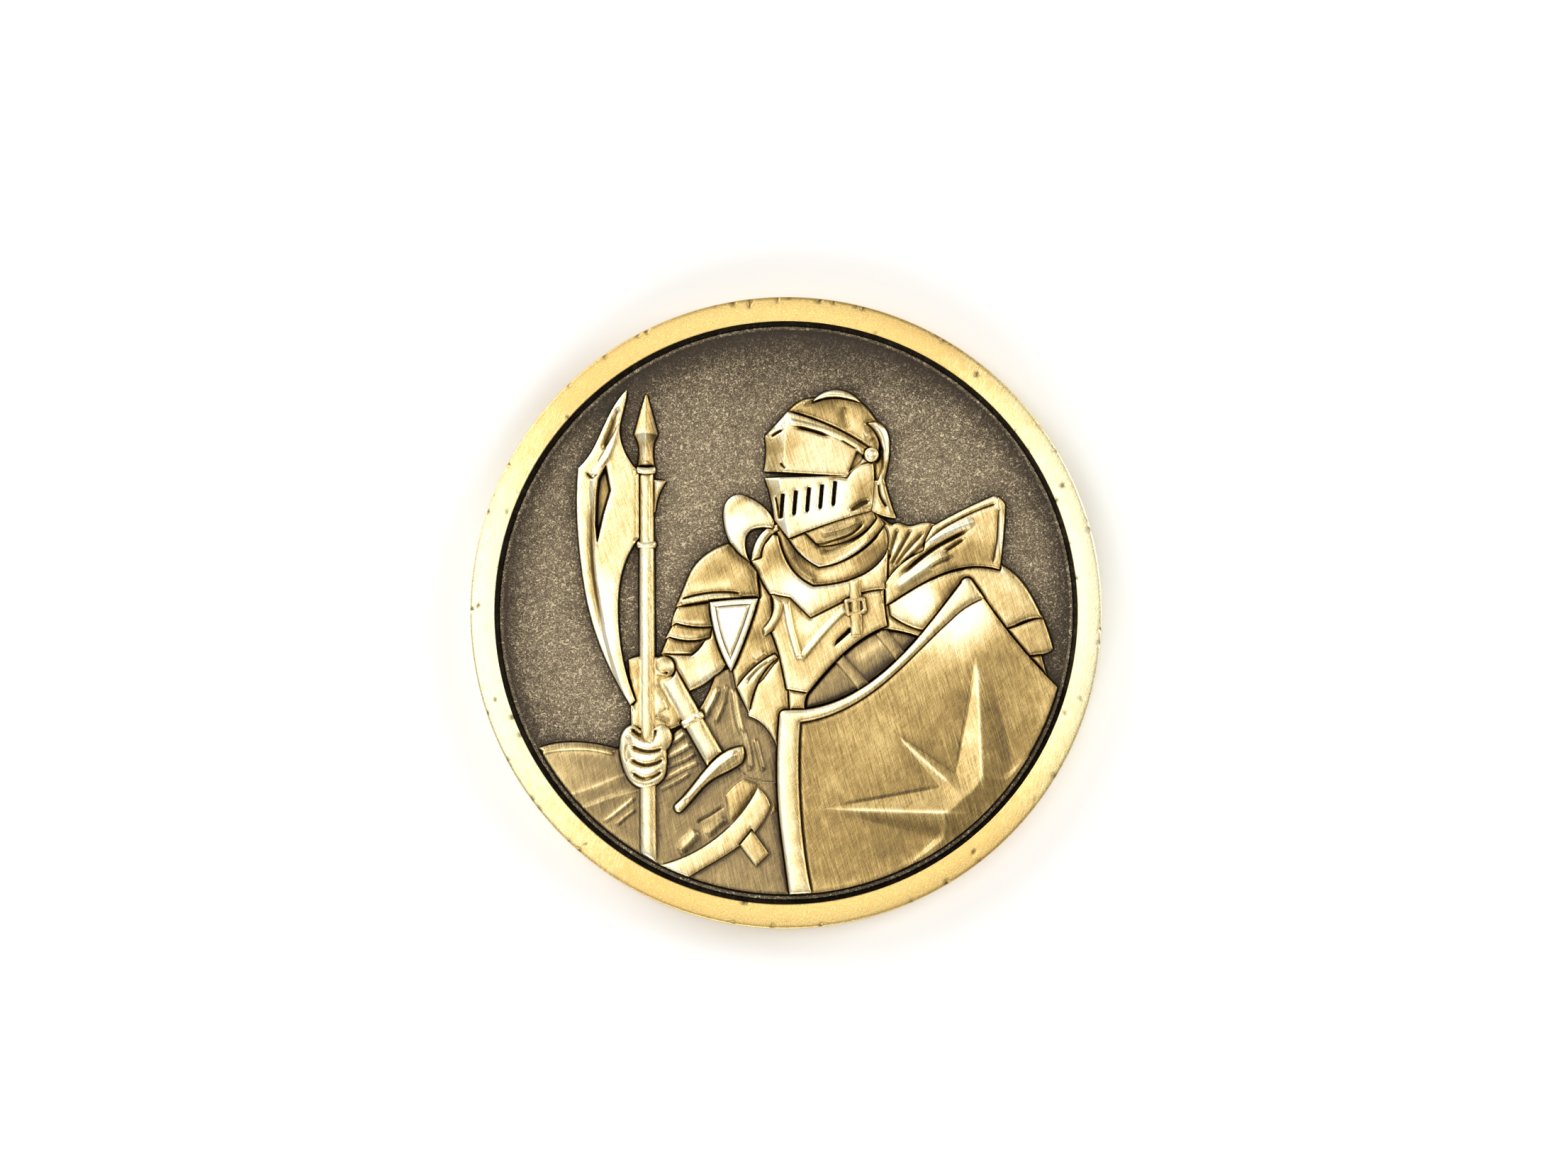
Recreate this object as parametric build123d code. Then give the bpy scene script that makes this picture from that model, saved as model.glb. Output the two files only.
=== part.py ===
# Struck challenge coin: a round brass coin with a raised rim on both faces. The obverse carries
# a standing armoured figure with a pole axe and a shield, the reverse a laurel wreath.
# Every struck feature is its own closed solid, and each meets its neighbours face to face.
# Millimetres. Origin at the centre of the coin's bottom face, +Z up through the obverse,
# +Y towards the top of the design.
import math
import os

from build123d import *

# ---------------------------------------------------------------- driving dimensions
coin_diameter = 44.45          # 1 3/4 inch
coin_thickness = 3.0           # over both rims
rim_width = 1.52               # flat land of the rim
edge_chamfer = 0.2             # outer corners of the rim
obverse_depth = 0.9            # rim land down to the obverse field
reverse_depth = 0.5            # rim land up to the reverse field
wall_draft = 0.28              # run of the rim's inner wall over the obverse depth
moat_width = 0.38              # bare field between the relief and the rim wall

relief_peak = 0.76             # highest relief above the obverse field
step = relief_peak / 16        # one level of the relief

pole_width = 1.04              # shaft of the pole axe
collar_overhang = 0.19         # the rings on the shaft stand this far out each side
collar_height = 0.5
pivot_radius = 0.52            # round head of the visor's pivot
pommel_radius = 0.82
grip_width = 1.44
grip_ring_overhang = 0.15
border_width = 1.45            # raised border down the shield's left side
breath_width = 0.24            # ventilation slots in the lower face plate
breath_count = 5

wreath_radius = 13.4           # centre line of the reverse wreath
leaf_length = 3.5
leaf_width = 1.3
leaf_pairs = 8                 # pairs of leaves on each branch
reverse_relief = 0.34          # height of the wreath above the reverse field
boss_radius = 7.2              # plain panel in the middle of the reverse

# ---------------------------------------------------------------- derived sizes
coin_radius = coin_diameter / 2
land_inner = coin_radius - edge_chamfer - rim_width
field_radius = land_inner - wall_draft
relief_radius = field_radius - moat_width
field_z = coin_thickness - obverse_depth
reverse_z = reverse_depth
drawing_radius = 19.85         # the design is drawn for this relief radius
k = relief_radius / drawing_radius

os.makedirs("parts", exist_ok=True)


# ---------------------------------------------------------------- outline helpers
def plan(*marks):
    """Closed flat outline. A pair is a corner. A list holds the points of a smooth run
    between the corner before it and the corner after it."""
    corners = [i for i, mark in enumerate(marks) if isinstance(mark, tuple)]
    edges = []
    for place, i in enumerate(corners):
        j = corners[(place + 1) % len(corners)]
        between = marks[i + 1:j] if j > i else marks[i + 1:]
        run = [marks[i]]
        for group in between:
            run += group
        run.append(marks[j])
        run = [(x * k, y * k) for x, y in run]
        if len(run) == 2:
            edges.append(Line(*run))
        elif len(run) == 3:
            edges.append(ThreePointArc(*run))
        else:
            edges.append(Spline(*run))
    return make_face(Wire(edges))


def bar(start, end, width, round_end=False):
    """Straight bar of one width from start to end, in design units."""
    sx, sy = start
    ex, ey = end
    length = math.hypot(ex - sx, ey - sy)
    angle = math.degrees(math.atan2(ey - sy, ex - sx))
    middle = Location(((sx + ex) / 2 * k, (sy + ey) / 2 * k, 0), (0, 0, angle))
    if round_end:
        return middle * SlotOverall((length + width) * k, width * k)
    return middle * Rectangle(length * k, width * k)


def disc(centre, radius):
    return Location((centre[0] * k, centre[1] * k, 0)) * Circle(radius * k)


def polar(centre, radius, degrees):
    angle = math.radians(degrees)
    return (centre[0] + radius * math.cos(angle), centre[1] + radius * math.sin(angle))


def along(start, end, share):
    return (start[0] + (end[0] - start[0]) * share, start[1] + (end[1] - start[1]) * share)


# ---------------------------------------------------------------- coin body
rim_profile = [
    (land_inner, coin_thickness),
    (coin_radius - edge_chamfer, coin_thickness),
    (coin_radius, coin_thickness - edge_chamfer),
    (coin_radius, edge_chamfer),
    (coin_radius - edge_chamfer, 0),
    (land_inner, 0),
    (field_radius, reverse_z),
    (field_radius, field_z),
]
rim_face = Plane.XZ * make_face(Polyline(*rim_profile, close=True))
rim_ring = revolve(rim_face, Axis.Z)
centre_disc = Pos(0, 0, reverse_z) * extrude(Circle(field_radius), field_z - reverse_z)

# ---------------------------------------------------------------- pole axe
pole_top = (-9.85, 10.0)
pole_foot = (-9.66, -18.6)
pole_slope = (pole_foot[0] - pole_top[0]) / (pole_foot[1] - pole_top[1])


def pole_at(y):
    return (pole_top[0] + (y - pole_top[1]) * pole_slope, y)


def pole_collar(y):
    x = pole_at(y)[0]
    half = pole_width / 2 + collar_overhang
    high = collar_height / 2
    return plan(
        (x - half * 0.86, y - high), [(x, y - high * 1.3)], (x + half * 0.86, y - high),
        [(x + half, y)], (x + half * 0.86, y + high), [(x, y + high * 0.7)],
        (x - half * 0.86, y + high), [(x - half, y)])


pole_shaft = plan(
    (pole_at(9.9)[0] - pole_width / 2, 9.9), (pole_at(9.9)[0] + pole_width / 2, 9.9),
    (pole_foot[0] + pole_width * 0.58, pole_foot[1]),
    (pole_foot[0] - pole_width * 0.58, pole_foot[1]))
tip_x = pole_at(12.5)[0]
neck = pole_width / 2 - 0.02   # half width of the spear point's socket
spear_point = plan(
    (tip_x - 0.06, 15.4), [(tip_x - 0.5, 13.9)], (tip_x - neck - 0.36, 12.55),
    [(tip_x - neck - 0.05, 11.9), (tip_x - neck, 11.2)], (tip_x - neck - 0.12, 10.1),
    (tip_x + neck + 0.12, 10.1), [(tip_x + neck, 11.2), (tip_x + neck + 0.05, 11.9)],
    (tip_x + neck + 0.36, 12.55), [(tip_x + 0.5, 13.9)], (tip_x + 0.06, 15.4))
axe_blade = plan(
    (-11.2, 15.75), [(-12.1, 14.6), (-13.0, 12.8), (-13.8, 11.2)], (-14.65, 10.2),
    [(-14.75, 7.4), (-14.5, 3.9), (-13.75, -0.3), (-12.5, -3.7)], (-10.95, -6.5),
    (-10.6, -6.2), [(-11.35, -3.9), (-11.8, -0.6), (-11.6, 2.6)], (-10.3, 5.35),
    (-9.9, 5.3), (-9.9, 9.95), (-10.4, 9.95),
    [(-11.3, 11.2), (-11.72, 12.8), (-11.4, 14.5)])
back_fluke = plan(
    (-9.8, 9.4), (-8.4, 9.3), [(-8.95, 8.3)], (-9.2, 7.1), (-9.8, 6.9))

# ---------------------------------------------------------------- left arm
grip_throat = pole_at(-8.8)    # where the fist closes over the shaft
gauntlet = plan(
    (-10.75, -7.85), [(-11.45, -8.35), (-11.72, -9.5), (-11.5, -10.8), (-10.95, -11.9)],
    (-9.95, -12.4), [(-9.1, -12.15)], (-8.55, -11.65), [(-8.35, -10.7)], (-8.4, -9.7),
    [(-8.0, -9.0), (-8.12, -8.25)], (-8.7, -7.85), [(-9.2, -8.05)],
    (grip_throat[0] + 0.15, grip_throat[1]), (grip_throat[0] - 0.15, grip_throat[1]),
    [(-10.3, -8.2)])
gauntlet_cuff = plan(
    (-11.1, -3.3), [(-10.2, -3.05), (-9.2, -3.1)], (-8.2, -3.6), (-6.4, -6.3),
    (-7.35, -7.9), [(-8.0, -8.2)], (-8.6, -8.4), (-10.9, -8.2), [(-10.95, -5.8)])
couter_left = plan(
    (-8.75, -2.7), (-4.9, -0.6), (-4.1, -3.2), [(-4.5, -4.1)], (-5.0, -4.45),
    [(-5.9, -5.15)], (-6.95, -5.6), [(-7.75, -4.6)], (-8.5, -4.0))
arm_lame_upper = plan(
    (-7.45, 0.6), (-5.2, 0.9), (-5.1, -0.98), [(-6.5, -1.0)], (-7.7, -0.75), (-8.05, -0.95),
    [(-7.9, -0.2)])
arm_lame_middle = plan(
    (-7.8, -0.6), (-5.1, -0.6), (-5.35, -1.75), [(-6.9, -1.98)], (-8.15, -1.72),
    (-8.5, -1.85))
arm_lame_lower = plan(
    (-8.2, -1.5), (-5.5, -1.2), [(-5.85, -2.2)], (-6.65, -3.0), (-8.8, -2.95))
besagew_left = plan(
    (-5.35, 0.72), [(-3.6, 0.9)], (-1.95, 0.98), [(-2.75, -1.5)], (-3.85, -4.15),
    [(-4.85, -1.9)])
pauldron_left = plan(
    (-4.05, 4.85), [(-5.4, 4.25), (-6.5, 3.2), (-7.2, 1.7)], (-7.78, 0.38),
    [(-5.2, 0.78)], (-1.85, 1.05), (-2.0, 2.9), (-2.6, 3.6))
haute_left = plan(
    (-0.8, 6.3), [(-1.4, 7.3), (-2.4, 8.0), (-3.5, 8.3), (-4.15, 7.85), (-4.38, 6.6),
    (-4.05, 5.2), (-3.4, 4.2)], (-2.5, 3.55), [(-2.85, 4.8), (-2.6, 5.65), (-2.0, 5.93)],
    (-0.9, 5.9))
collar_left = plan(
    (-0.55, 6.2), [(-1.55, 5.75), (-2.1, 5.0)], (-2.42, 3.6), (-1.7, 3.85),
    [(-1.35, 5.0)], (-0.5, 5.8))

# ---------------------------------------------------------------- helm
sight_left = (-1.8, 9.75)
sight_right = (4.1, 9.62)
sight = plan(
    (sight_left[0], sight_left[1] + 0.2), (sight_right[0], sight_right[1]),
    (sight_left[0], sight_left[1] - 0.26))
visor_pivot = disc((6.05, 11.1), pivot_radius)
helm_visor = plan(
    (-1.64, 9.7), [(-1.42, 11.0)], (-1.5, 12.42), [(-0.75, 13.2)], (0.15, 14.15),
    [(2.3, 13.45), (4.2, 12.6)], (5.9, 11.55), (5.75, 10.6), [(4.95, 10.25)],
    (4.3, 9.5), (3.9, 9.55))
helm_bevor = plan(
    (-1.64, 9.78), [(-1.32, 9.0), (-1.05, 8.0)], (-0.82, 6.5), (0.2, 5.2),
    [(3.0, 6.25)], (6.05, 7.12), [(6.25, 9.0)], (6.1, 11.0), (4.6, 10.2), (3.5, 9.8))
helm_comb = plan(
    (1.9, 14.85), [(2.5, 15.42), (3.55, 15.7), (4.6, 15.4)], (5.3, 14.75),
    [(4.4, 15.02), (3.45, 15.14), (2.6, 15.05)])
helm_neck_guard = plan(
    (5.7, 13.3), (6.35, 13.45), [(7.05, 12.9), (7.32, 11.5), (7.15, 10.2)], (6.95, 9.35),
    [(7.3, 8.0)], (7.8, 6.6), [(6.9, 6.75)], (6.0, 7.15), (5.9, 10.8),
    [(6.62, 11.6), (6.4, 12.5)])
helm_skull = plan(
    (0.05, 14.0), [(0.7, 14.7), (1.3, 15.02)], (2.0, 15.08), [(3.6, 15.3)], (5.1, 14.95),
    [(5.95, 14.15), (6.6, 13.0), (6.9, 11.5)], (6.75, 10.6), (5.6, 11.2), (3.0, 12.6),
    (0.5, 13.4))


def breath(place):
    """Plain upright slot in the lower face plate."""
    x = -0.3 + place * 0.92
    low = 6.75 + place * 0.22
    return bar((x - 0.03, low), (x + 0.1, low + 1.5), breath_width, True)


# ---------------------------------------------------------------- neck and body
gorget_upper = plan(
    (1.3, 5.7), (2.3, 4.68), [(4.1, 4.95), (5.3, 5.55)], (6.35, 6.6), (6.1, 7.4), (3.5, 6.6))
gorget_middle = plan(
    (0.15, 5.3), [(1.1, 4.05)], (2.35, 3.2), [(4.4, 3.85), (5.9, 4.95)], (6.95, 6.2),
    (6.2, 7.4), (3.5, 6.6), (0.6, 5.8))
gorget_lower = plan(
    (-0.75, 6.4), [(-0.5, 5.2), (-0.2, 4.2)], (1.95, 1.82), [(4.2, 2.15), (6.1, 3.05)],
    (7.05, 4.1), [(7.22, 4.9)], (7.1, 5.75), (6.1, 7.3), (3.5, 6.6), (0.3, 5.75))
breastplate = plan(
    (-2.4, 3.6), (-0.9, 5.5), (2.0, 4.5), (7.2, 4.4), (7.1, 1.6), [(5.9, 1.5)],
    (4.4, 0.95), [(3.0, 0.25)], (1.75, -0.38), (0.3, 1.05), (-1.1, 1.3), [(-1.6, 2.1)])
plackart = plan(
    (-0.9, 1.5), (6.9, 2.2), [(6.95, 0.5)], (7.15, -0.95), [(5.2, -1.95), (3.4, -3.5)],
    (1.55, -5.65), (0.08, -5.4), [(-0.2, -4.0), (-0.55, -2.6)], (-1.0, -1.35),
    [(-0.85, 0.2)])
strap_left = plan(
    (-1.0, 1.25), (-0.15, 0.75), [(-0.3, -0.3)], (-1.5, -1.68), (-1.6, -1.15),
    [(-0.95, -0.2)])
strap_right = bar((4.86, 2.6), (5.02, -1.75), 0.86)
buckle_right = Location((4.92 * k, 0.42 * k, 0), (0, 0, 8)) * RectangleRounded(
    1.56 * k, 1.24 * k, 0.24 * k)
buckle_hole = Location((4.92 * k, 0.42 * k, 0), (0, 0, 8)) * RectangleRounded(
    0.92 * k, 0.62 * k, 0.1 * k)
side_plate = plan(
    (-2.4, 3.2), (-1.0, 1.6), (-0.8, -1.5), [(-0.4, -2.5)], (-0.5, -3.2), (-1.6, -4.7),
    (-3.1, -5.6), (-3.5, -5.3), (-3.75, -4.0), [(-2.8, -1.5)])
tasset_left = plan(
    (-0.75, -2.9), [(-2.2, -3.85)], (-3.45, -5.3), [(-3.1, -6.05)], (-2.6, -7.05),
    [(-2.15, -5.3), (-1.5, -4.1)], (-0.55, -3.2))
fauld_left = plan(
    (-1.0, -2.5), (-0.4, -2.4), (0.2, -5.3), (0.3, -7.1), (-0.3, -7.3), (-0.35, -10.0),
    [(-0.9, -8.85), (-1.65, -7.85)], (-2.65, -7.3), (-2.6, -5.2), (-1.6, -3.8))
fauld_front = plan(
    (0.0, -5.2), (1.8, -5.3), [(1.35, -6.2)], (1.4, -7.1), (-0.4, -7.3), (-0.1, -6.0))

# ---------------------------------------------------------------- right shoulder and arm
haute_right = plan(
    (7.05, 0.5), (7.0, 2.05), [(8.0, 3.25)], (9.7, 4.3), (9.85, 5.1), (10.35, 6.05),
    [(12.4, 7.15)], (14.65, 8.18), [(15.1, 8.0)], (15.45, 7.5), [(15.32, 5.3)],
    (15.05, 3.0), [(12.2, 3.1), (9.2, 1.85)])
mail_collar = plan(
    (5.9, 7.3), [(7.0, 6.45)], (7.5, 6.15), [(8.0, 6.28), (8.6, 6.08), (9.3, 6.2)],
    (10.6, 6.1), (10.4, 3.4), (7.6, 2.2), (6.2, 4.0))
pauldron_right = plan(
    (7.2, 0.8), (8.0, 2.6), (12.5, 4.4), (15.0, 3.4), [(16.3, 2.5), (17.25, 1.2)],
    (18.05, -0.4),
    [(17.0, -0.55)], (16.1, -0.95), (13.0, -2.0), (9.9, -1.35), [(8.4, -0.85)],
    (7.35, -0.2))
rerebrace_right = plan(
    (15.0, 0.0), (18.0, -0.2), [(18.45, -1.3)], (18.82, -2.62), [(18.3, -2.92)],
    (17.75, -2.98), (15.5, -3.4))
lame_right = plan(
    (16.0, -2.4), (17.9, -2.6), [(18.15, -3.7)], (18.5, -4.85), (17.0, -5.2))
arm_cuff_right = plan(
    (6.9, 0.9), (10.6, -0.2), (10.4, -1.0), (9.75, -1.85), [(8.4, -1.4)], (6.7, -1.15))
enarmes = plan((6.3, -1.6), (6.9, -0.9), (8.6, -3.1), (8.0, -3.7)) + plan(
    (3.4, -3.4), (4.0, -2.9), (5.9, -5.0), (5.2, -5.6))
vambrace_right = plan(
    (1.25, -7.1), (1.4, -5.3), (3.0, -3.4), (6.0, -1.0), (8.0, -1.2), (10.4, -1.6),
    (9.0, -4.0), (5.0, -6.6))

# ---------------------------------------------------------------- sword
grip_top = (-8.35, -4.35)
grip_low = (-4.75, -10.75)
grip_mid = along(grip_top, grip_low, 0.5)
grip_tilt = math.degrees(math.atan2(grip_low[1] - grip_top[1], grip_low[0] - grip_top[0]))
sword_pommel = disc((-8.62, -3.86), pommel_radius)
sword_grip = bar(grip_top, grip_low, grip_width)
grip_ring = Location((grip_mid[0] * k, grip_mid[1] * k, 0), (0, 0, grip_tilt)) * RectangleRounded(
    0.62 * k, (grip_width + 2 * grip_ring_overhang) * k, 0.2 * k)
sword_guard = plan(
    (-3.0, -9.42), [(-4.4, -9.9), (-5.5, -10.9), (-6.5, -12.15)], (-7.78, -13.55),
    [(-7.75, -13.95)], (-7.4, -14.05), [(-6.3, -12.85), (-5.3, -11.85), (-4.2, -11.25)],
    (-3.1, -10.6), [(-2.9, -10.0)])
scabbard = plan(
    (-4.3, -12.9), [(-3.7, -12.2)], (-2.95, -11.65), (-1.8, -12.1), [(-1.1, -12.9)],
    (-0.55, -13.9), (-2.0, -15.2), (-3.9, -15.2))
belt = plan(
    (-1.95, -12.3), [(-1.4, -12.85)], (-1.05, -13.6), [(-2.2, -15.5), (-4.1, -17.0)],
    (-7.2, -18.9), (-9.4, -18.2), (-8.95, -17.8), [(-6.3, -16.8), (-4.2, -15.3)])
belt_end = plan((-2.4, -15.2), (-1.15, -16.98), (-2.1, -17.88), (-3.3, -16.3))

# ---------------------------------------------------------------- cloth
tabard = plan(
    (-3.7, -3.9), (-4.9, -4.2), [(-5.45, -5.7)], (-6.1, -6.85), (-5.9, -8.0), (-4.0, -10.4),
    (-2.6, -11.8), [(-1.6, -12.0)], (-0.3, -11.95), (-0.3, -9.0), (-2.4, -7.0),
    (-3.2, -5.0))
cloak = plan(
    (-17.5, -9.55), [(-16.2, -9.2), (-14.8, -9.12), (-13.2, -9.28)], (-11.5, -9.7),
    (-9.0, -9.3), (-8.1, -9.2), [(-7.9, -8.6)], (-7.1, -8.05), (-5.0, -9.0), (-3.0, -11.0),
    (0.4, -11.5), (0.4, -20.5), (-10.0, -20.5), (-20.0, -14.0), (-18.5, -10.2))

# ---------------------------------------------------------------- shield
shield_peak = (12.78, 2.4)
shield_border_top = [(4.5, -5.85), (7.8, -3.42), (10.4, -0.5)]
shield_outline = plan(
    (0.35, -20.6), [(-0.12, -17.0), (-0.48, -14.0), (-0.6, -11.0)], (-0.42, -7.25),
    [(-0.3, -6.98)], (0.0, -6.88), (1.3, -6.85), shield_border_top, (12.35, 2.05),
    [shield_peak], (13.15, 2.15), [(16.25, -2.15)], (19.6, -5.75), (23.0, -8.0),
    (23.0, -20.6))
shield_border = plan(
    (0.35, -20.6), [(-0.12, -17.0), (-0.48, -14.0), (-0.6, -11.0)], (-0.42, -7.25),
    [(-0.3, -6.98)], (0.0, -6.88), (1.3, -6.85), shield_border_top, (12.35, 2.05),
    [shield_peak], (13.15, 2.15), (13.95, 1.0), [(12.6, 0.3)], (11.6, -0.55),
    [(9.3, -2.75), (6.5, -5.3), (3.7, -7.0)], (border_width - 0.4, -7.75),
    [(border_width - 0.52, -11.0), (border_width - 0.4, -14.0), (border_width - 0.1, -17.0)],
    (border_width + 0.6, -20.6))
star_centre = (13.9, -14.2)
ray_half_width = 2.5
side_ray_half_width = 1.2
main_rays = [(92.5, 11.5), (178.0, 11.5), (270.0, 9.0), (0.0, 9.0)]
side_rays = [(137.3, 8.65), (50.0, 6.3), (214.0, 6.6)]


def star_ray(degrees, length, half_width):
    left = polar(star_centre, half_width, degrees + 90)
    right = polar(star_centre, half_width, degrees - 90)
    return plan(polar(star_centre, length, degrees), left, right)


shield_star = star_ray(*main_rays[0], ray_half_width)
for degrees, length in main_rays[1:]:
    shield_star = shield_star + star_ray(degrees, length, ray_half_width)
for degrees, length in side_rays:
    shield_star = shield_star + star_ray(degrees, length, side_ray_half_width)

for place in range(breath_count):
    helm_bevor = helm_bevor - breath(place)
helm_bevor = helm_bevor - sight
helm_visor = helm_visor - sight

# ---------------------------------------------------------------- stacking of the relief
# From the front of the design to the back, with the level each stands at.
layers = [
    ("pole_collars", pole_collar(10.05) + pole_collar(4.8), 14),
    ("gauntlet", gauntlet, 15),
    ("pole_shaft", pole_shaft, 11),
    ("spear_point", spear_point, 11),
    ("back_fluke", back_fluke, 9),
    ("axe_blade", axe_blade, 10),
    ("sword_pommel", sword_pommel, 13),
    ("grip_ring", grip_ring, 14),
    ("sword_guard", sword_guard, 14),
    ("sword_grip", sword_grip, 12),
    ("visor_pivot", visor_pivot, 16),
    ("helm_visor", helm_visor, 15),
    ("helm_bevor", helm_bevor, 14),
    ("helm_comb", helm_comb, 14),
    ("helm_neck_guard", helm_neck_guard, 12),
    ("helm_skull", helm_skull, 13),
    ("haute_left", haute_left, 13),
    ("collar_left", collar_left, 12),
    ("gorget_upper", gorget_upper, 12),
    ("gorget_middle", gorget_middle, 11),
    ("gorget_lower", gorget_lower, 10),
    ("shield_border", shield_border, 16),
    ("shield_star", shield_star & shield_outline, 15),
    ("shield_field", shield_outline, 12),
    ("haute_right", haute_right, 13),
    ("buckle_right", buckle_right - buckle_hole, 16),
    ("strap_right", strap_right, 15),
    ("strap_left", strap_left, 14),
    ("besagew_left", besagew_left, 15),
    ("pauldron_left", pauldron_left, 14),
    ("arm_lame_upper", arm_lame_upper, 12),
    ("arm_lame_middle", arm_lame_middle, 11),
    ("arm_lame_lower", arm_lame_lower, 10),
    ("couter_left", couter_left, 11),
    ("gauntlet_cuff", gauntlet_cuff, 9),
    ("breastplate", breastplate, 13),
    ("plackart", plackart, 12),
    ("tasset_left", tasset_left, 11),
    ("side_plate", side_plate, 9),
    ("fauld_left", fauld_left, 9),
    ("fauld_front", fauld_front, 10),
    ("mail_collar", mail_collar, 10),
    ("pauldron_right", pauldron_right, 10),
    ("arm_cuff_right", arm_cuff_right, 8),
    ("rerebrace_right", rerebrace_right, 9),
    ("lame_right", lame_right, 7),
    ("enarmes", enarmes, 8),
    ("vambrace_right", vambrace_right, 6),
    ("belt_end", belt_end, 9),
    ("sword_belt", belt, 10),
    ("scabbard", scabbard, 8),
    ("tabard", tabard, 6),
    ("cloak", cloak, 5),
]
sliver = 0.06 * k * k          # a visible scrap smaller than this is not struck

# Pieces that lie over a lower one, which runs on underneath them.
lies_over = {
    "pole_collars": ["pole_shaft"],
    "gauntlet": ["pole_shaft", "gauntlet_cuff", "cloak"],
    "pole_shaft": ["gauntlet_cuff", "cloak"],
    "sword_pommel": ["gauntlet_cuff"],
    "grip_ring": ["sword_grip"],
    "sword_grip": ["gauntlet_cuff", "tabard"],
    "sword_guard": ["cloak", "tabard", "scabbard"],
    "buckle_right": ["strap_right", "breastplate", "plackart"],
    "strap_right": ["breastplate", "plackart"],
    "strap_left": ["side_plate", "breastplate", "plackart"],
    "visor_pivot": ["helm_skull"],
    "enarmes": ["vambrace_right"],
    "shield_star": ["shield_field"],
    "sword_belt": ["cloak"],
    "belt_end": ["cloak"],
    "scabbard": ["cloak"],
    "tabard": ["cloak"],
}

relief_disc = Circle(relief_radius)


def apart(one, two):
    a = one.bounding_box()
    b = two.bounding_box()
    if a.max.X < b.min.X or b.max.X < a.min.X:
        return True
    return a.max.Y < b.min.Y or b.max.Y < a.min.Y


def raised(faces, height):
    """The faces lifted into one body from the field plane."""
    body = None
    for face in faces:
        up = face if face.normal_at().Z > 0 else -face
        solid = extrude(up, height, dir=(0, 0, 1))
        body = solid if body is None else body + solid
    return Pos(0, 0, field_z) * body


relief = {}
in_front = []
for name, whole, level in layers:
    seen = whole & relief_disc
    for cover_name, cover in in_front:
        if name in lies_over.get(cover_name, []):
            continue
        if not apart(whole, cover):
            seen = seen - cover
    faces = [face for face in seen.faces() if face.area > sliver]
    relief[name] = raised(faces, level * step)
    in_front.append((name, whole))
for name, under in lies_over.items():
    for lower in under:
        if not apart(relief[name], relief[lower]):
            relief[name] = relief[name] - relief[lower]

# ---------------------------------------------------------------- reverse
reverse_level = reverse_z - reverse_relief


def leaf(angle, lean, shift):
    """Pointed leaf on the wreath, its stem end on the centre line."""
    half = leaf_width / 2
    blade = make_face(Wire([
        ThreePointArc((0, 0), (leaf_length * 0.45, half), (leaf_length, 0)),
        ThreePointArc((leaf_length, 0), (leaf_length * 0.45, -half), (0, 0))]))
    turned = Location((wreath_radius + shift, 0, 0), (0, 0, lean)) * blade
    return Location((0, 0, 0), (0, 0, angle)) * (turned)


def branch(side):
    """One branch of the wreath: a curved stem with leaves in pairs along it."""
    start = -84
    sweep = 154
    stem_outer = Circle(wreath_radius + 0.18)
    stem_inner = Circle(wreath_radius - 0.18)
    half_plane = Location((15, 0, 0)) * Rectangle(30, 60)
    stem = (stem_outer - stem_inner) & half_plane
    stem = stem - Location((0, wreath_radius, 0)) * Rectangle(9.0, 3)
    stem = stem - Location((0, -wreath_radius, 0)) * Rectangle(2.0, 3)
    shape = stem
    for number in range(leaf_pairs):
        angle = start + 8 + sweep * number / leaf_pairs
        shape = shape + leaf(angle, 66, 0.12)
        shape = shape + leaf(angle, 114, -0.12)
    shape = shape + leaf(start + sweep - 4, 90, 0)
    if side < 0:
        shape = mirror(shape, Plane.YZ)
    return shape


def reverse_relief_solid(face):
    return Pos(0, 0, reverse_level) * extrude(face, reverse_relief, dir=(0, 0, 1))


wreath_tie = Location((0, -wreath_radius, 0)) * RectangleRounded(3.0, 1.5, 0.4)
branch_right = branch(1) - wreath_tie
branch_left = branch(-1) - wreath_tie
boss_ring = Circle(boss_radius + 0.5) - Circle(boss_radius)
reverse = {
    "wreath_right": reverse_relief_solid(branch_right),
    "wreath_left": reverse_relief_solid(branch_left),
    "wreath_tie": reverse_relief_solid(wreath_tie),
    "reverse_ring": reverse_relief_solid(boss_ring),
}

# ---------------------------------------------------------------- files
export_step(rim_ring, "parts/rim_ring.step")
export_step(centre_disc, "parts/centre_disc.step")
for name, body in list(relief.items()) + list(reverse.items()):
    export_step(body, f"parts/{name}.step")
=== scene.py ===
import math

import bpy
import numpy as np
from mathutils import Matrix, Vector
from mathutils.geometry import delaunay_2d_cdt
from mathutils.kdtree import KDTree


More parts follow.
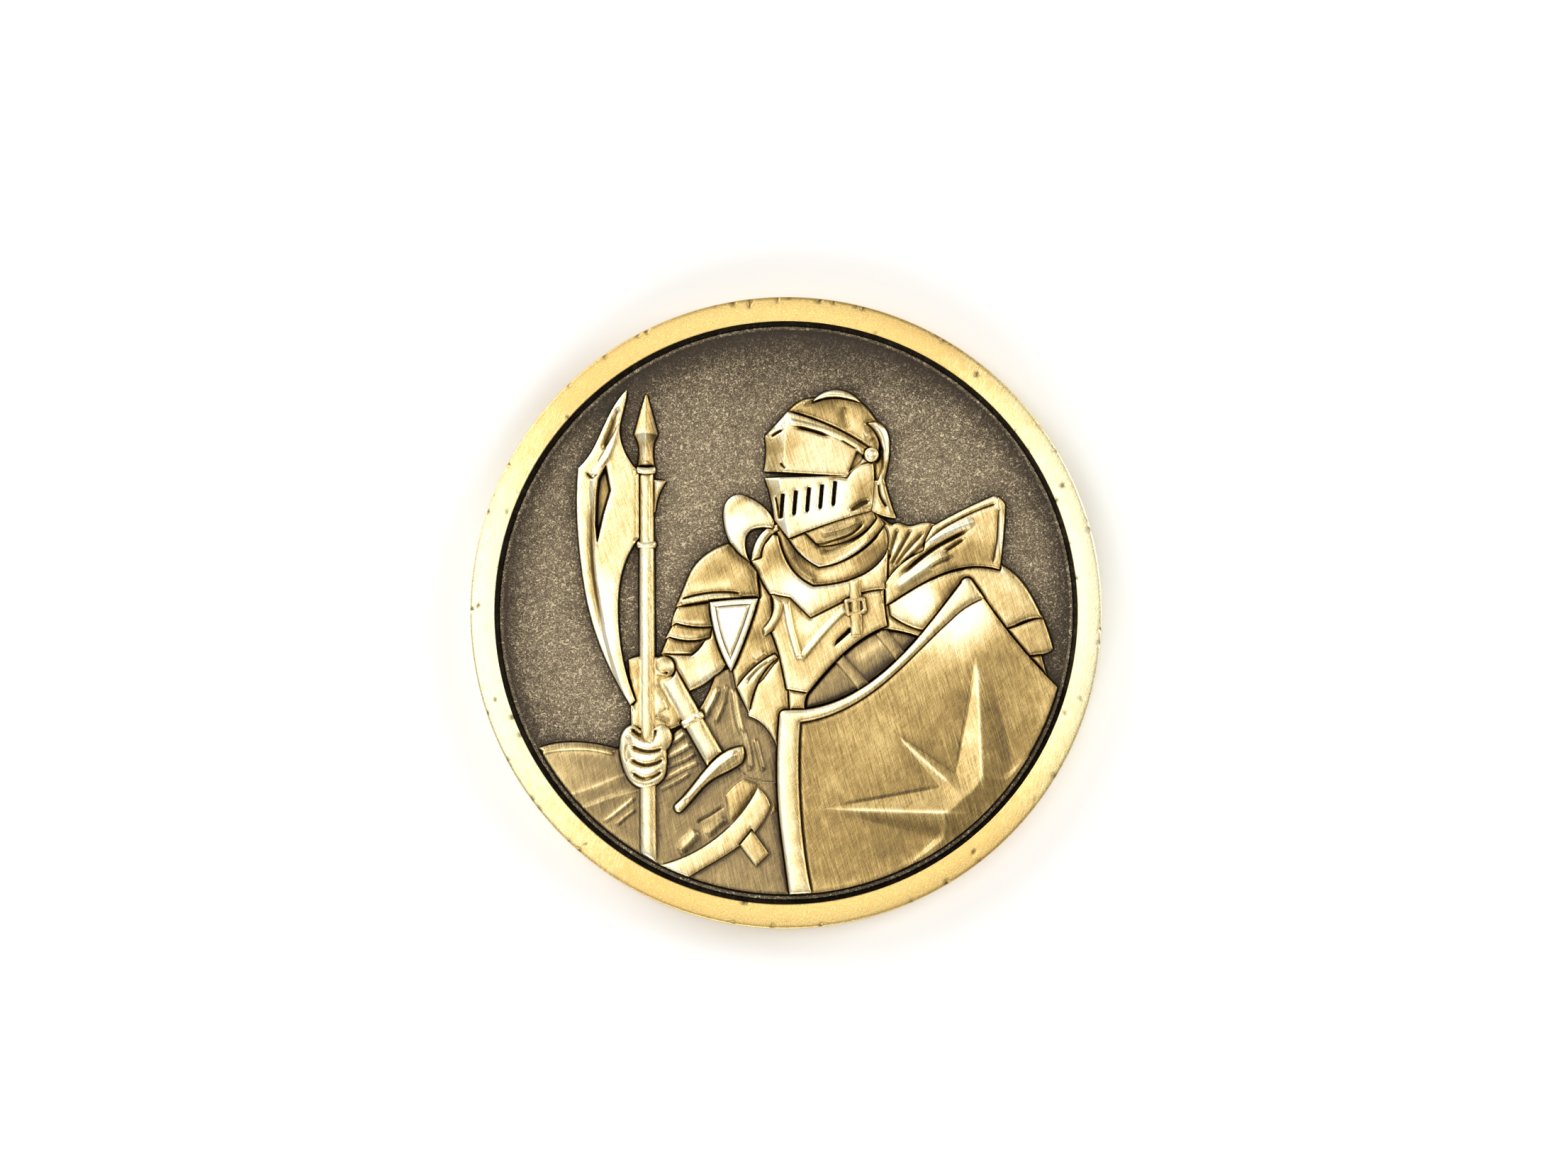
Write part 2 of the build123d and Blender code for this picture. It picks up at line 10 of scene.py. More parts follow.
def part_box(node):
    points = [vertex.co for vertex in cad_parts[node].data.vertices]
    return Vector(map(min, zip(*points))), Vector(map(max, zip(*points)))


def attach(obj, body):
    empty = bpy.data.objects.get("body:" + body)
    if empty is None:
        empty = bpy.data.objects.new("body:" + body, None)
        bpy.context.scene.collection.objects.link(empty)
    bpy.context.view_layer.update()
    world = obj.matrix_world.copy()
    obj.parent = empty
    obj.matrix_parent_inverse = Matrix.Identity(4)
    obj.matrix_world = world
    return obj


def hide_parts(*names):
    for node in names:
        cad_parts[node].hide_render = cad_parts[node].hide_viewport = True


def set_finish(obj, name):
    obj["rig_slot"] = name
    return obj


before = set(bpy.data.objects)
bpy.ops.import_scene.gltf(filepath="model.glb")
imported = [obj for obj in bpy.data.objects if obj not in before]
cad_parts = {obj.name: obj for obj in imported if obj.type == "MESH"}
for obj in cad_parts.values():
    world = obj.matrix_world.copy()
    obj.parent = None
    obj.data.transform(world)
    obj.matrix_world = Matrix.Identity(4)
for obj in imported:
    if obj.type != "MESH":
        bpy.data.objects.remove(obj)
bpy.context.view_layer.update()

MM = 0.001
rng = np.random.default_rng(7)

# ---------- sizes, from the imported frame
ring_low, ring_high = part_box("rim_ring")
disc_low, disc_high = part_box("centre_disc")
COIN_R = (ring_high.x - ring_low.x) / 2 / MM
COIN_H = (ring_high.z - ring_low.z) / MM
FIELD_R = (disc_high.x - disc_low.x) / 2 / MM
FIELD_Z = disc_high.z / MM
BACK_Z = disc_low.z / MM
EDGE_CHAMFER = 0.2
RIM_WIDTH = 1.52
LAND_R = COIN_R - EDGE_CHAMFER - RIM_WIDTH

FINE = 0.062      # spacing of the sculpted surface, in mm
SHOULDER = (0.02, 0.045, 0.08, 0.125, 0.18)     # where the rings of points lie inside an outline
LOWEST, HIGHEST = 0.03, 0.86         # the sculpted surface stays between these heights over the field
FLAT = 1e-3                          # a face this level counts as the flat top


# ---------- shared map of the obverse
MAP_STEP = 0.05
MAP_N = int(2 * (FIELD_R + 0.5) / MAP_STEP)
MAP_LOW = -MAP_N * MAP_STEP / 2
map_axis = MAP_LOW + (np.arange(MAP_N) + 0.5) * MAP_STEP
map_x, map_y = np.meshgrid(map_axis, map_axis)
map_rim = np.hypot(map_x, map_y) > FIELD_R


def sample(grid, points):
    """Bilinear reading of a map at the points."""
    u = np.clip((points[:, 0] - MAP_LOW) / MAP_STEP - 0.5, 0, MAP_N - 1.001)
    v = np.clip((points[:, 1] - MAP_LOW) / MAP_STEP - 0.5, 0, MAP_N - 1.001)
    i, j = u.astype(int), v.astype(int)
    fu, fv = u - i, v - j
    return ((grid[j, i] * (1 - fu) + grid[j, i + 1] * fu) * (1 - fv)
            + (grid[j + 1, i] * (1 - fu) + grid[j + 1, i + 1] * fu) * fv)


def cells(points):
    """Row and column of the map cell under each point."""
    at = np.clip(((points - MAP_LOW) / MAP_STEP).astype(int), 0, MAP_N - 1)
    return at[:, 1], at[:, 0]


def blur(grid, sigma):
    """Gaussian blur, sigma in mm."""
    f = np.fft.fftfreq(MAP_N, MAP_STEP)
    gain = np.exp(-2 * (math.pi * sigma) ** 2 * (f[:, None] ** 2 + f[None, :] ** 2))
    return np.fft.ifft2(np.fft.fft2(grid) * gain).real


def fill(loops):
    """Even-odd raster of closed loops on the shared map."""
    flips = np.zeros((MAP_N, MAP_N + 1), np.int32)
    for loop in loops:
        (ax, ay), (bx, by) = loop.T, np.roll(loop, -1, 0).T
        first = np.ceil((np.minimum(ay, by) - MAP_LOW) / MAP_STEP - 0.5).astype(int)
        last = np.ceil((np.maximum(ay, by) - MAP_LOW) / MAP_STEP - 0.5).astype(int)
        for k in range((last - first).max()):
            hit = first + k < last
            row = first[hit] + k
            y = MAP_LOW + (row + 0.5) * MAP_STEP
            x = ax[hit] + (y - ay[hit]) * (bx - ax)[hit] / (by - ay)[hit]
            column = np.clip(np.ceil((x - MAP_LOW) / MAP_STEP - 0.5).astype(int), 0, MAP_N)
            np.add.at(flips, (row, column), 1)
    return np.cumsum(flips, 1)[:, :-1] % 2 == 1


def swell(mask, turns=240):
    """Height of a soap film blown up over a mask."""
    rows = np.nonzero(mask.any(1))[0]
    cols = np.nonzero(mask.any(0))[0]
    r0, r1, c0, c1 = rows[0] - 1, rows[-1] + 2, cols[0] - 1, cols[-1] + 2
    m = mask[r0:r1, c0:c1].astype(float)
    u = m.copy()
    for _ in range(turns):
        near = np.zeros_like(u)
        near[1:] += u[:-1]
        near[:-1] += u[1:]
        near[:, 1:] += u[:, :-1]
        near[:, :-1] += u[:, 1:]
        u = (near / 4 + 1) * m
    out = np.zeros(mask.shape)
    out[r0:r1, c0:c1] = u / u.max()
    return out


# ---------- plane geometry
def border_edges(faces):
    """Directed edges that only one of the faces has."""
    edges = set()
    for ids in faces:
        for a, b in zip(ids, ids[1:] + ids[:1]):
            if (b, a) in edges:
                edges.remove((b, a))
            elif a != b:
                edges.add((a, b))
    return sorted(edges)


def chain(edges):
    """Closed loops of indices that follow the edges."""
    follow = {}
    for a, b in edges:
        follow.setdefault(a, []).append(b)
    loops = []
    while follow:
        start = now = min(follow)
        loop = [start]
        while now in follow:
            to = follow[now].pop()
            if not follow[now]:
                del follow[now]
            if to == start:
                break
            loop.append(to)
            now = to
        loops.append(loop)
    return loops


def top_loops(name, up):
    """Closed outlines of the node's outermost face, in mm, with the piece on their left."""
    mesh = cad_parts[name].data
    co = np.array([v.co for v in mesh.vertices]) / MM
    level = co[:, 2].max() if up > 0 else co[:, 2].min()
    keys, where, index = {}, [], []
    for x, y, z in co:
        index.append(keys.setdefault((round(x, 3), round(y, 3)), len(where)))
        if index[-1] == len(where):
            where.append((x, y))
    flat = [poly for poly in mesh.polygons if all(abs(co[i, 2] - level) <= FLAT for i in poly.vertices)]
    edges = border_edges([[index[i] for i in poly.vertices][::up] for poly in flat])
    return [np.array([where[i] for i in loop]) for loop in chain(edges) if len(loop) > 2]


def resample(loop, spacing, corner=24.0):
    """Even points along a closed loop that keep its corners, the turns of more than corner degrees."""
    back = loop - np.roll(loop, 1, 0)
    ahead = np.roll(loop, -1, 0) - loop
    turn = np.degrees(np.abs(np.arctan2(
        back[:, 0] * ahead[:, 1] - back[:, 1] * ahead[:, 0], (back * ahead).sum(1))))
    keep = list(np.nonzero(turn > corner)[0]) or [0]
    out = []
    n = len(loop)
    for i, start in enumerate(keep):
        end = keep[(i + 1) % len(keep)]
        if end <= start:
            end += n
        run = loop[np.arange(start, end + 1) % n]
        step = np.sqrt((np.diff(run, axis=0) ** 2).sum(1))
        total = step.sum()
        parts = max(1, int(round(total / spacing)))
        at = np.concatenate([[0], np.cumsum(step)])
        want = np.linspace(0, total, parts + 1)[:-1]
        out.append(np.stack([np.interp(want, at, run[:, 0]), np.interp(want, at, run[:, 1])], 1))
    return np.concatenate(out)


class Outline:
    def __init__(self, loops):
        self.loops = loops
        self.points = np.concatenate(loops)
        self.after = np.concatenate([np.roll(loop, -1, 0) for loop in loops])
        self.before = np.concatenate([np.roll(loop, 1, 0) for loop in loops])
        along = self.after - self.before
        along /= np.maximum(np.hypot(along[:, 0], along[:, 1]), 1e-9)[:, None]
        self.inward = np.stack([-along[:, 1], along[:, 0]], 1)
        self.tree = KDTree(len(self.points))
        for i, (x, y) in enumerate(self.points):
            self.tree.insert((x, y, 0), i)
        self.tree.balance()

    def nearest(self, points):
        """Distance of each point to the outline and the index of the nearest outline point."""
        find = self.tree.find
        index = np.array([find((x, y, 0))[1] for x, y in points.tolist()], int)
        here = self.points[index]
        distance = np.full(len(points), 1e9)
        for other in (self.before[index], self.after[index]):
            along = other - here
            share = ((points - here) * along).sum(1) / np.maximum((along ** 2).sum(1), 1e-12)
            off = points - here - np.clip(share, 0, 1)[:, None] * along
            distance = np.minimum(distance, np.hypot(off[:, 0], off[:, 1]))
        return distance, index

    def soften(self, values, turns=2):
        """Evens out values held at the outline points, along each loop."""
        out = []
        start = 0
        for loop in self.loops:
            part = values[start:start + len(loop)]
            for _ in range(turns):
                part = (np.roll(part, 1) + 2 * part + np.roll(part, -1)) / 4
            out.append(part)
            start += len(loop)
        return np.concatenate(out)


def triangulate(loops, extra):
    """Triangles that fill the loops and pass through the extra points."""
    points = np.concatenate(list(loops) + [extra])
    faces = []
    start = 0
    for loop in loops:
        faces.append(list(range(start, start + len(loop))))
        start += len(loop)
    result = delaunay_2d_cdt([Vector(p) for p in points.tolist()], [], faces, 1, 1e-6)
    verts = np.array([tuple(v) for v in result[0]])
    tris = np.array([t for t in result[2] if len(t) == 3])
    a, b, c = verts[tris[:, 0]], verts[tris[:, 1]], verts[tris[:, 2]]
    area = (b[:, 0] - a[:, 0]) * (c[:, 1] - a[:, 1]) - (b[:, 1] - a[:, 1]) * (c[:, 0] - a[:, 0])
    tris[area < 0] = tris[area < 0][:, ::-1]
    keep = np.abs(area) > 1e-9
    if len(loops) > 1:
        keep &= fill(loops)[cells(verts[tris].mean(1))]
    return verts, tris[keep]


def hexagonal(low, high, spacing):
    """Slightly uneven triangular grid over a box."""
    xs = np.arange(low[0], high[0], spacing)
    ys = np.arange(low[1], high[1], spacing * 0.866)
    gx, gy = np.meshgrid(xs, ys)
    gx = gx + (np.arange(len(ys)) % 2)[:, None] * spacing / 2
    points = np.stack([gx.ravel(), gy.ravel()], 1)
    return points + rng.normal(0, spacing * 0.03, points.shape)


def smooth(t):
    """Soft step from 0 to 1."""
    t = np.clip(t, 0, 1)
    return t * t * (3 - 2 * t)


def curve(points, steps=8):
    """Catmull-Rom run through the points."""
    p = np.array(points, float)
    if len(p) < 3:
        return p
    ends = np.vstack([2 * p[0] - p[1], p, 2 * p[-1] - p[-2]])
    out = []
    for i in range(1, len(ends) - 2):
        a, b, c, d = ends[i - 1:i + 3]
        for t in np.linspace(0, 1, steps, endpoint=False):
            out.append(0.5 * (2 * b + (c - a) * t + (2 * a - 5 * b + 4 * c - d) * t * t
                              + (3 * b - 3 * c + d - a) * t ** 3))
    out.append(p[-1])
    return np.array(out)


def line_frame(points, run):
    """Distance to an open run, share along it and signed side (left is positive)."""
    a, b = run[:-1], run[1:]
    ab = b - a
    length = np.sqrt((ab ** 2).sum(1))
    start = np.concatenate([[0], np.cumsum(length)])[:-1]
    best = np.full(len(points), 1e9)
    share = np.zeros(len(points))
    side = np.zeros(len(points))
    for i in range(len(a)):
        rel = points - a[i]
        t = np.clip((rel @ ab[i]) / max(length[i] ** 2, 1e-12), 0, 1)
        off = rel - t[:, None] * ab[i]
        d = np.sqrt((off ** 2).sum(1))
        closer = d < best
        best = np.where(closer, d, best)
        share = np.where(closer, (start[i] + t * length[i]) / length.sum(), share)
        cross = ab[i][0] * rel[:, 1] - ab[i][1] * rel[:, 0]
        side = np.where(closer, np.sign(cross), side)
    return best, share, side


# ---------- sculpting marks
# Each mark gives a change at the points: of height in mm, or of the tone, where it paints highlight and
# shade. Runs are in the coin's own mm.
def crest(run, width, height, ends=0.15):
    """Soft raised line, fading out over the given share at both ends."""
    path = curve(run)

    def mark(p):
        d, s, _ = line_frame(p, path)
        fade = smooth(s / max(ends, 1e-6)) * smooth((1 - s) / max(ends, 1e-6)) if ends else 1.0
        return height * fade * np.exp(-(d / width) ** 2)
    return mark


def groove(run, width, depth, ends=0.15):
    """Soft sunk line."""
    return crest(run, width, -depth, ends)


def band(run, width, height, ends=0.05):
    """Flat-topped raised line with crisp sides."""
    path = curve(run)

    def mark(p):
        d, s, _ = line_frame(p, path)
        fade = smooth(s / ends) * smooth((1 - s) / ends)
        return height * fade * smooth((width / 2 - d) / 0.09 + 0.5)
    return mark


def ledge(run, height, soft=0.07, reach=None):
    """The left side of the run stands higher by height, behind a soft step."""
    path = curve(run)

    def mark(p):
        d, s, side = line_frame(p, path)
        rise = 0.5 + 0.5 * np.clip(side * d / soft, -1, 1)
        if reach is None:
            return height * rise
        return height * rise * np.exp(-np.maximum(side * d, 0) / reach)
    return mark


def keel(start, end, slope_left, slope_right):
    """Ridge line through two points, falling away on both sides."""
    a, b = np.array(start, float), np.array(end, float)
    way = (b - a) / np.hypot(*(b - a))

    def mark(p):
        off = way[0] * (p - a)[:, 1] - way[1] * (p - a)[:, 0]
        return -np.where(off > 0, off * slope_left, -off * slope_right)
    return mark


def dome(centre, radius, height):
    """Rounded swell, highest at its centre."""
    def mark(p):
        r = np.hypot(p[:, 0] - centre[0], p[:, 1] - centre[1]) / radius
        return height * np.clip(1 - r ** 2, 0, 1)
    return mark


def blot(centre, radius, amount):
    """Soft round patch of burnish and painted light added to the tone: painted highlight where the amount
    is positive, painted shade where it is negative.
    """
    def mark(p):
        r2 = ((p - np.array(centre)) ** 2).sum(1) / radius ** 2
        return amount * np.exp(-r2)
    return mark


def stroke(run, width, amount):
    """Soft streak along a run, of burnish and painted light added to the tone: painted highlight where the
    amount is positive, painted shade where it is negative.
    """
    return crest(run, width, amount, 0.25)


def each(make, numbers, *runs):
    """The same kind of mark along several runs."""
    return [make(run, *numbers) for run in runs]


def hollow(corners, depth, soft=0.08):
    """Sunk patch with sloping sides inside a closed outline."""
    ring = np.array(list(corners) + [corners[0]], float)

    def mark(p):
        d, _, _ = line_frame(p, ring)
        odd = np.zeros(len(p), bool)
        for (ax, ay), (bx, by) in zip(ring[:-1], ring[1:]):
            if ay != by:
                odd ^= ((ay > p[:, 1]) != (by > p[:, 1])) & (
                    p[:, 0] < ax + (p[:, 1] - ay) * (bx - ax) / (by - ay))
        return -depth * smooth(np.where(odd, d, -d) / soft + 0.5)
    return mark


# How each piece is sculpted. Lengths are in mm.
#   bulge          how far the middle swells up
#   roof           how far the outline lies under the peaked middle
#   facet          height at the outline, and how fast it rises inwards
#   inset          a line along the outline: distance from it, width, depth
#   round, edge    reach and drop of the rounded shoulder where nothing higher stands beside it
#   trough         depth of the crease where a higher piece stands beside it
#   tone           burnish, from 0 for dark to about 1 for bright
#   marks, shine   marks that change the height, and patches of painted highlight and painted shade, with some burnish, that change the tone
PLAIN = dict(bulge=0.05, roof=0, facet=None, inset=None, round=0.12, edge=0.1, trough=0.13, tone=0.75,
             marks=(), shine=())
FOLD = dict(round=0.16, edge=0.06, trough=0.05)
LOOKS = {}
COLLAR_LINE = [(0.55, 4.75), (1.3, 3.85), (2.3, 3.25), (3.4, 3.5), (4.7, 4.2), (6.2, 5.3)]


def look(name, **settings):
    """Notes how a piece differs from PLAIN."""
    LOOKS[name] = dict(PLAIN, **settings)


# the pole axe
look("pole_shaft", bulge=0.3, round=0.05, edge=0.03, trough=0.04, tone=0.86, marks=(
    groove([(-9.55, 9.4), (-9.55, 5)], 0.05, 0.04), groove([(-9.55, 4), (-9.55, -7.5)], 0.05, 0.03)))
look("pole_collars", bulge=0.26, round=0.06, edge=0.05, tone=0.9)
look("spear_point", bulge=0.1, roof=0.3, round=0.05, edge=0.03, tone=0.52, shine=(
    blot((-10.05, 12.5), 0.4, 0.35), stroke([(-9.95, 11.9), (-9.9, 10.2)], 0.16, 0.45),
    stroke([(-9.2, 12), (-9.45, 14.6)], 0.25, -0.3)))
look("axe_blade", bulge=0.02, round=0.07, edge=0.06, tone=0.84, marks=(
    groove([(-11.75, 14.6), (-12.3, 12.9), (-12.9, 11.4)], 0.16, 0.13, 0.17),
    crest([(-11.55, 14.2), (-11.95, 12.6), (-12.6, 10.9), (-13.4, 10)], 0.14, 0.07, 0.3),
    ledge([(-13.2, 10.6), (-13.65, 9.6), (-13.75, 6.5), (-13.62, 3.5), (-13.2, 0.5),
           (-12.6, -2.2), (-11.8, -4.9), (-11.1, -6.6)], 0.13, 0.12),
    groove([(-14.1, 9.9), (-13.65, 9.5), (-13.3, 9.8)], 0.08, 0.12),
    groove([(-13.62, 9.3), (-13.72, 6.5), (-13.62, 3.5), (-13.2, 0.5), (-12.6, -2.2)],
           0.15, 0.11, 0.25),
    crest([(-13.4, 9.2), (-13.45, 6.4), (-13.35, 4.2)], 0.1, 0.06, 0.2),
    hollow([(-12.68, 10.35), (-12.35, 8.6), (-12.85, 6.9), (-13.28, 5), (-13.42, 6.2),
            (-13.35, 8.2), (-13.2, 9.4)], 0.42, 0.14)), shine=(
    stroke([(-12.9, 3.6), (-12.6, 0), (-12.1, -3.2)], 0.6, 0.3),
    stroke([(-11.8, 14), (-12.9, 11.6)], 0.35, -0.3),
    stroke([(-13.68, 8.5), (-13.65, 3.5), (-13.1, -0.5)], 0.12, -0.5)))
look("back_fluke", tone=0.8, round=0.08)
# the hand on the pole and the sword below it
look("gauntlet", bulge=0.3, tone=0.84, trough=0.1, marks=(
    *each(groove, (0.13, 0.17),
          [(-10.95, -9.35), (-10.4, -9.62), (-9.8, -9.78), (-9.2, -9.75), (-8.55, -9.55)],
          [(-11, -10.25), (-10.4, -10.62), (-9.8, -10.75), (-9.1, -10.6), (-8.5, -10.25)],
          [(-10.9, -11.2), (-10.3, -11.6), (-9.8, -11.7), (-9.2, -11.5), (-8.6, -11.1)]),
    groove([(-10.9, -8.15), (-10.5, -8.5), (-10, -8.75), (-9.5, -8.95)], 0.15, 0.22),
    groove([(-9.45, -9.1), (-9.25, -8.7), (-9.15, -8.2)], 0.12, 0.2),
    hollow([(-10.15, -8.55), (-9.5, -8.45), (-9.35, -8.75), (-9.5, -9.15), (-9.9, -8.9)], 0.3, 0.12),
    groove([(-11.2, -8.6), (-11.05, -9.2), (-11.2, -9.9), (-11, -10.6)], 0.2, 0.08)), shine=(
    *each(stroke, (0.22, 0.45), [(-10.8, -10), (-10, -10.25), (-9, -10.1)],
          [(-10.7, -11), (-10, -11.25), (-9.1, -11)]),
    stroke([(-10.8, -9.1), (-10.1, -9.3), (-9.2, -9.35)], 0.2, 0.45)))
look("gauntlet_cuff", bulge=0.1, tone=0.74, marks=(
    groove([(-9.15, -5), (-8.6, -5.9), (-8.1, -6.9)], 0.14, 0.05),
    groove([(-9.2, -7.3), (-8.6, -7.5), (-8.1, -7.8)], 0.16, 0.05),
    crest([(-9, -6.2), (-8.6, -6.9)], 0.3, 0.05),
    groove([(-11.3, -4.2), (-10.9, -5.5), (-10.7, -7.2)], 0.14, 0.1)), shine=(
    blot((-8.8, -6.4), 0.6, 0.3), blot((-10.9, -4), 0.5, -0.3)))
look("sword_pommel", bulge=0.3, tone=0.6, marks=(
    groove([(-9.3, -4), (-8.95, -4.25), (-8.55, -4.35), (-8.25, -4.15)], 0.09, 0.22),), shine=(
    blot((-8.15, -3.8), 0.35, 0.5),))
look("grip_ring", bulge=0.22, tone=0.9, marks=(
    hollow([(-6.45, -7.5), (-6.1, -7.6), (-6.05, -7.4), (-6.3, -7.3)], 0.1, 0.1),))
look("sword_grip", bulge=0.3, round=0.06, edge=0.04, tone=0.91, marks=(
    groove([(-8.85, -4.95), (-7.9, -6.7)], 0.07, 0.05),))
look("sword_guard", bulge=0.12, tone=0.72, marks=(
    crest([(-7.2, -13.4), (-5.6, -11.7), (-4.6, -10.7), (-3.3, -9.8)], 0.22, 0.1, 0.1),))
# the helmet
look("visor_pivot", bulge=0.2, tone=0.85, inset=(0.17, 0.05, 0.12))
look("helm_visor", bulge=0.06, round=0.1, tone=0.86, marks=(
    keel((-0.15, 9.9), (0, 13.3), 0.26, 0.035),
    band([(0.25, 13.45), (2, 13), (3.4, 12.55), (4.6, 11.95), (5.65, 11.2)], 0.34, 0.09, 0.03),
    groove([(0.5, 13.12), (1.3, 12.95), (2.2, 12.7), (3.3, 12.3)], 0.12, 0.2, 0.3),
    groove([(3.85, 12.2), (4.4, 11.85), (5.1, 11.45)], 0.06, 0.12, 0.2),
    crest([(-1.35, 12.55), (-0.8, 12.85), (-0.2, 13.2)], 0.1, 0.08),
    groove([(-1.1, 12.35), (-0.7, 12.6), (-0.15, 12.9)], 0.08, 0.16, 0.25),
    hollow([(5, 11.35), (5.6, 11), (5.2, 10.45), (4.4, 9.85), (4.7, 10.6)], 0.2, 0.12),
    groove([(-0.38, 10.55), (-0.2, 10.3), (0, 10.12)], 0.07, 0.16)), shine=(
    blot((-0.9, 11.6), 0.8, -0.6), blot((-0.8, 10.3), 0.6, -0.45), blot((0.45, 11.8), 0.55, -0.18),
    blot((2.6, 11.3), 1.6, 0.2)))
look("helm_bevor", round=0.1, tone=0.92, marks=(
    keel((0.2, 5.3), (-0.3, 8.5), 0.3, 0.03),
    groove([(4.45, 7.1), (5, 7.45), (5.6, 7.75), (6, 7.9)], 0.15, 0.16, 0.2),
    crest([(4.4, 6.95), (5.4, 7.25), (6, 7.35)], 0.1, 0.06),
    groove([(-0.75, 8.3), (-0.6, 7.6), (-0.45, 6.5)], 0.07, 0.2, 0.2)), shine=(
    blot((5.4, 8.6), 0.75, -0.4), blot((5.3, 7.6), 0.5, -0.45), blot((-0.9, 8.6), 0.6, -0.5),
    blot((2.6, 7.3), 1.6, 0.45), blot((3.9, 8.6), 0.7, 0.3)))
look("helm_comb", bulge=0.2, tone=0.85)
look("helm_neck_guard", tone=0.62, marks=(
    hollow([(5.9, 12.2), (6.5, 12.3), (6.85, 11.4), (6.85, 10.2), (6.5, 9.3), (6.15, 9.3),
            (6.2, 10.4), (6.55, 11.2)], 0.2, 0.2),
    band([(5.7, 13.35), (6.3, 13.3), (6.85, 12.7), (7.15, 11.6), (7.08, 10.5), (6.9, 9.5)], 0.24, 0.06),
    groove([(6.5, 9.15), (6.65, 8.2), (7.15, 7.3)], 0.09, 0.16),
    crest([(6.95, 9.1), (7.25, 7.9), (7.6, 6.8)], 0.12, 0.08)), shine=(
    blot((6.4, 10.9), 0.8, -0.3), blot((6.35, 7.8), 0.5, 0.2),
    stroke([(6, 13.3), (6.9, 12.7), (7.15, 11.5), (7.05, 10.2)], 0.18, 0.6)))
look("helm_skull", bulge=0.22, tone=0.48, trough=0.12, marks=(
    crest([(5.5, 12.4), (5.9, 12.5), (6.2, 12.2)], 0.3, 0.05),
    groove([(4.3, 14.5), (4.15, 13.7), (4.5, 12.8)], 0.3, 0.05),
    groove([(1.2, 14.7), (1.9, 14.8), (2.6, 15.1)], 0.14, 0.08)), shine=(
    blot((5.1, 13.2), 0.9, 0.25), blot((2.7, 14.9), 0.9, -0.35), blot((0.8, 14.2), 0.6, -0.3),
    blot((2.8, 13.6), 0.8, 0.15)))
# collar and gorget
look("haute_left", bulge=0.14, tone=0.92, marks=(
    hollow([(-2.75, 5.3), (-2.4, 5.8), (-1.95, 5.85), (-2.3, 5.2), (-2.5, 4.3), (-2.75, 4.4)],
           0.34, 0.14),), shine=(
    stroke([(-4.2, 6.6), (-3.6, 7.6), (-2.2, 8.1)], 0.3, -0.4), blot((-3.2, 6.2), 0.7, 0.35)))
look("collar_left", bulge=0.12, tone=0.9)
look("gorget_upper", tone=0.5, marks=(
    groove([(1.35, 5.5), (1.8, 5), (2.25, 4.75), (3.2, 5), (4.6, 5.5), (5.6, 6.4)], 0.09, 0.14, 0.1),
    crest([(2.3, 5.5), (4, 5.9), (5.3, 6.5)], 0.25, 0.08)), shine=(
    stroke([(2.2, 4.95), (3.6, 5.3), (5.2, 6.1)], 0.22, 0.4),))
look("gorget_middle", tone=0.6, marks=(
    band(COLLAR_LINE, 0.26, 0.06, 0.08),
    groove([(2.3, 4.2), (3.8, 4.55), (5.2, 5.4), (6.1, 6.4)], 0.16, 0.1)), shine=(
    stroke(COLLAR_LINE, 0.16, 0.5),))
look("gorget_lower", tone=0.55, marks=(
    groove([(3.4, 3.7), (4.6, 4.1), (5.6, 4.7), (6.6, 5.6)], 0.16, 0.1),
    crest([(0.3, 4), (1.2, 2.8), (2.2, 2.2)], 0.25, 0.06)), shine=(
    blot((0.35, 4.1), 0.9, -0.3), blot((5.9, 4.3), 1, -0.3),
    stroke([(1.9, 2.6), (3.4, 2.7), (5.2, 3.5)], 0.4, 0.3)))
# shield
look("shield_border", bulge=0.16, round=0.14, tone=0.86)
look("shield_star", facet=(0.6, 0.12), round=0.02, edge=0.01, trough=0.01, tone=0.52, shine=(
    stroke([(13.32, -3.8), (12.6, -7.8), (11.85, -11.7)], 0.07, -0.5),
    stroke([(3.4, -13.62), (7.5, -12.9), (11.3, -12.18)], 0.07, -0.4),
    stroke([(2.6, -13.8), (7.6, -13.97), (13.2, -14.1)], 0.14, 0.45),
    stroke([(13.41, -2.9), (13.66, -8.6), (13.86, -13.6)], 0.12, 0.4),
    stroke([(7.65, -8.55), (9.4, -10.15), (11.8, -12.3)], 0.12, 0.45),
    blot((13.4, -4.6), 1.3, 0.25), blot((12.9, -8.6), 0.8, 0.2),
    stroke([(4.2, -14.2), (8, -14.85), (12.2, -15.6)], 0.5, -0.22), blot((12.6, -15.6), 1.2, -0.2),
    blot((15.6, -12.4), 1.5, -0.1)))
look("shield_field", bulge=0, round=0.1, trough=0.1, tone=0.44, marks=(
    dome((12, -1.5), 6, 0.03),), shine=(
    blot((12.4, 0), 2.1, 1.1), blot((10.5, -2.2), 1.8, 0.25), blot((9.5, -4.6), 2.6, 0.12),
    blot((4.5, -7.6), 2.4, 0.1), blot((17, -6), 2, 0.12), blot((17.5, -9), 1.6, -0.12),
    blot((9.2, -10.2), 1.6, -0.16), blot((12.3, -6.5), 1, -0.12), blot((3.4, -12), 1.4, 0.12),
    blot((7, -9.4), 2.2, 0.14), blot((7.5, -17), 1.6, -0.12), blot((12.6, -2.9), 0.7, 0.15),
    stroke([(13.26, -3.8), (12.53, -7.8), (11.78, -11.6)], 0.09, -0.45),
    stroke([(3.4, -13.52), (7.5, -12.8), (11.1, -12.12)], 0.09, -0.4),
    stroke([(14.2, -4.2), (15.2, -8.2), (16, -11.6)], 0.2, -0.25)))
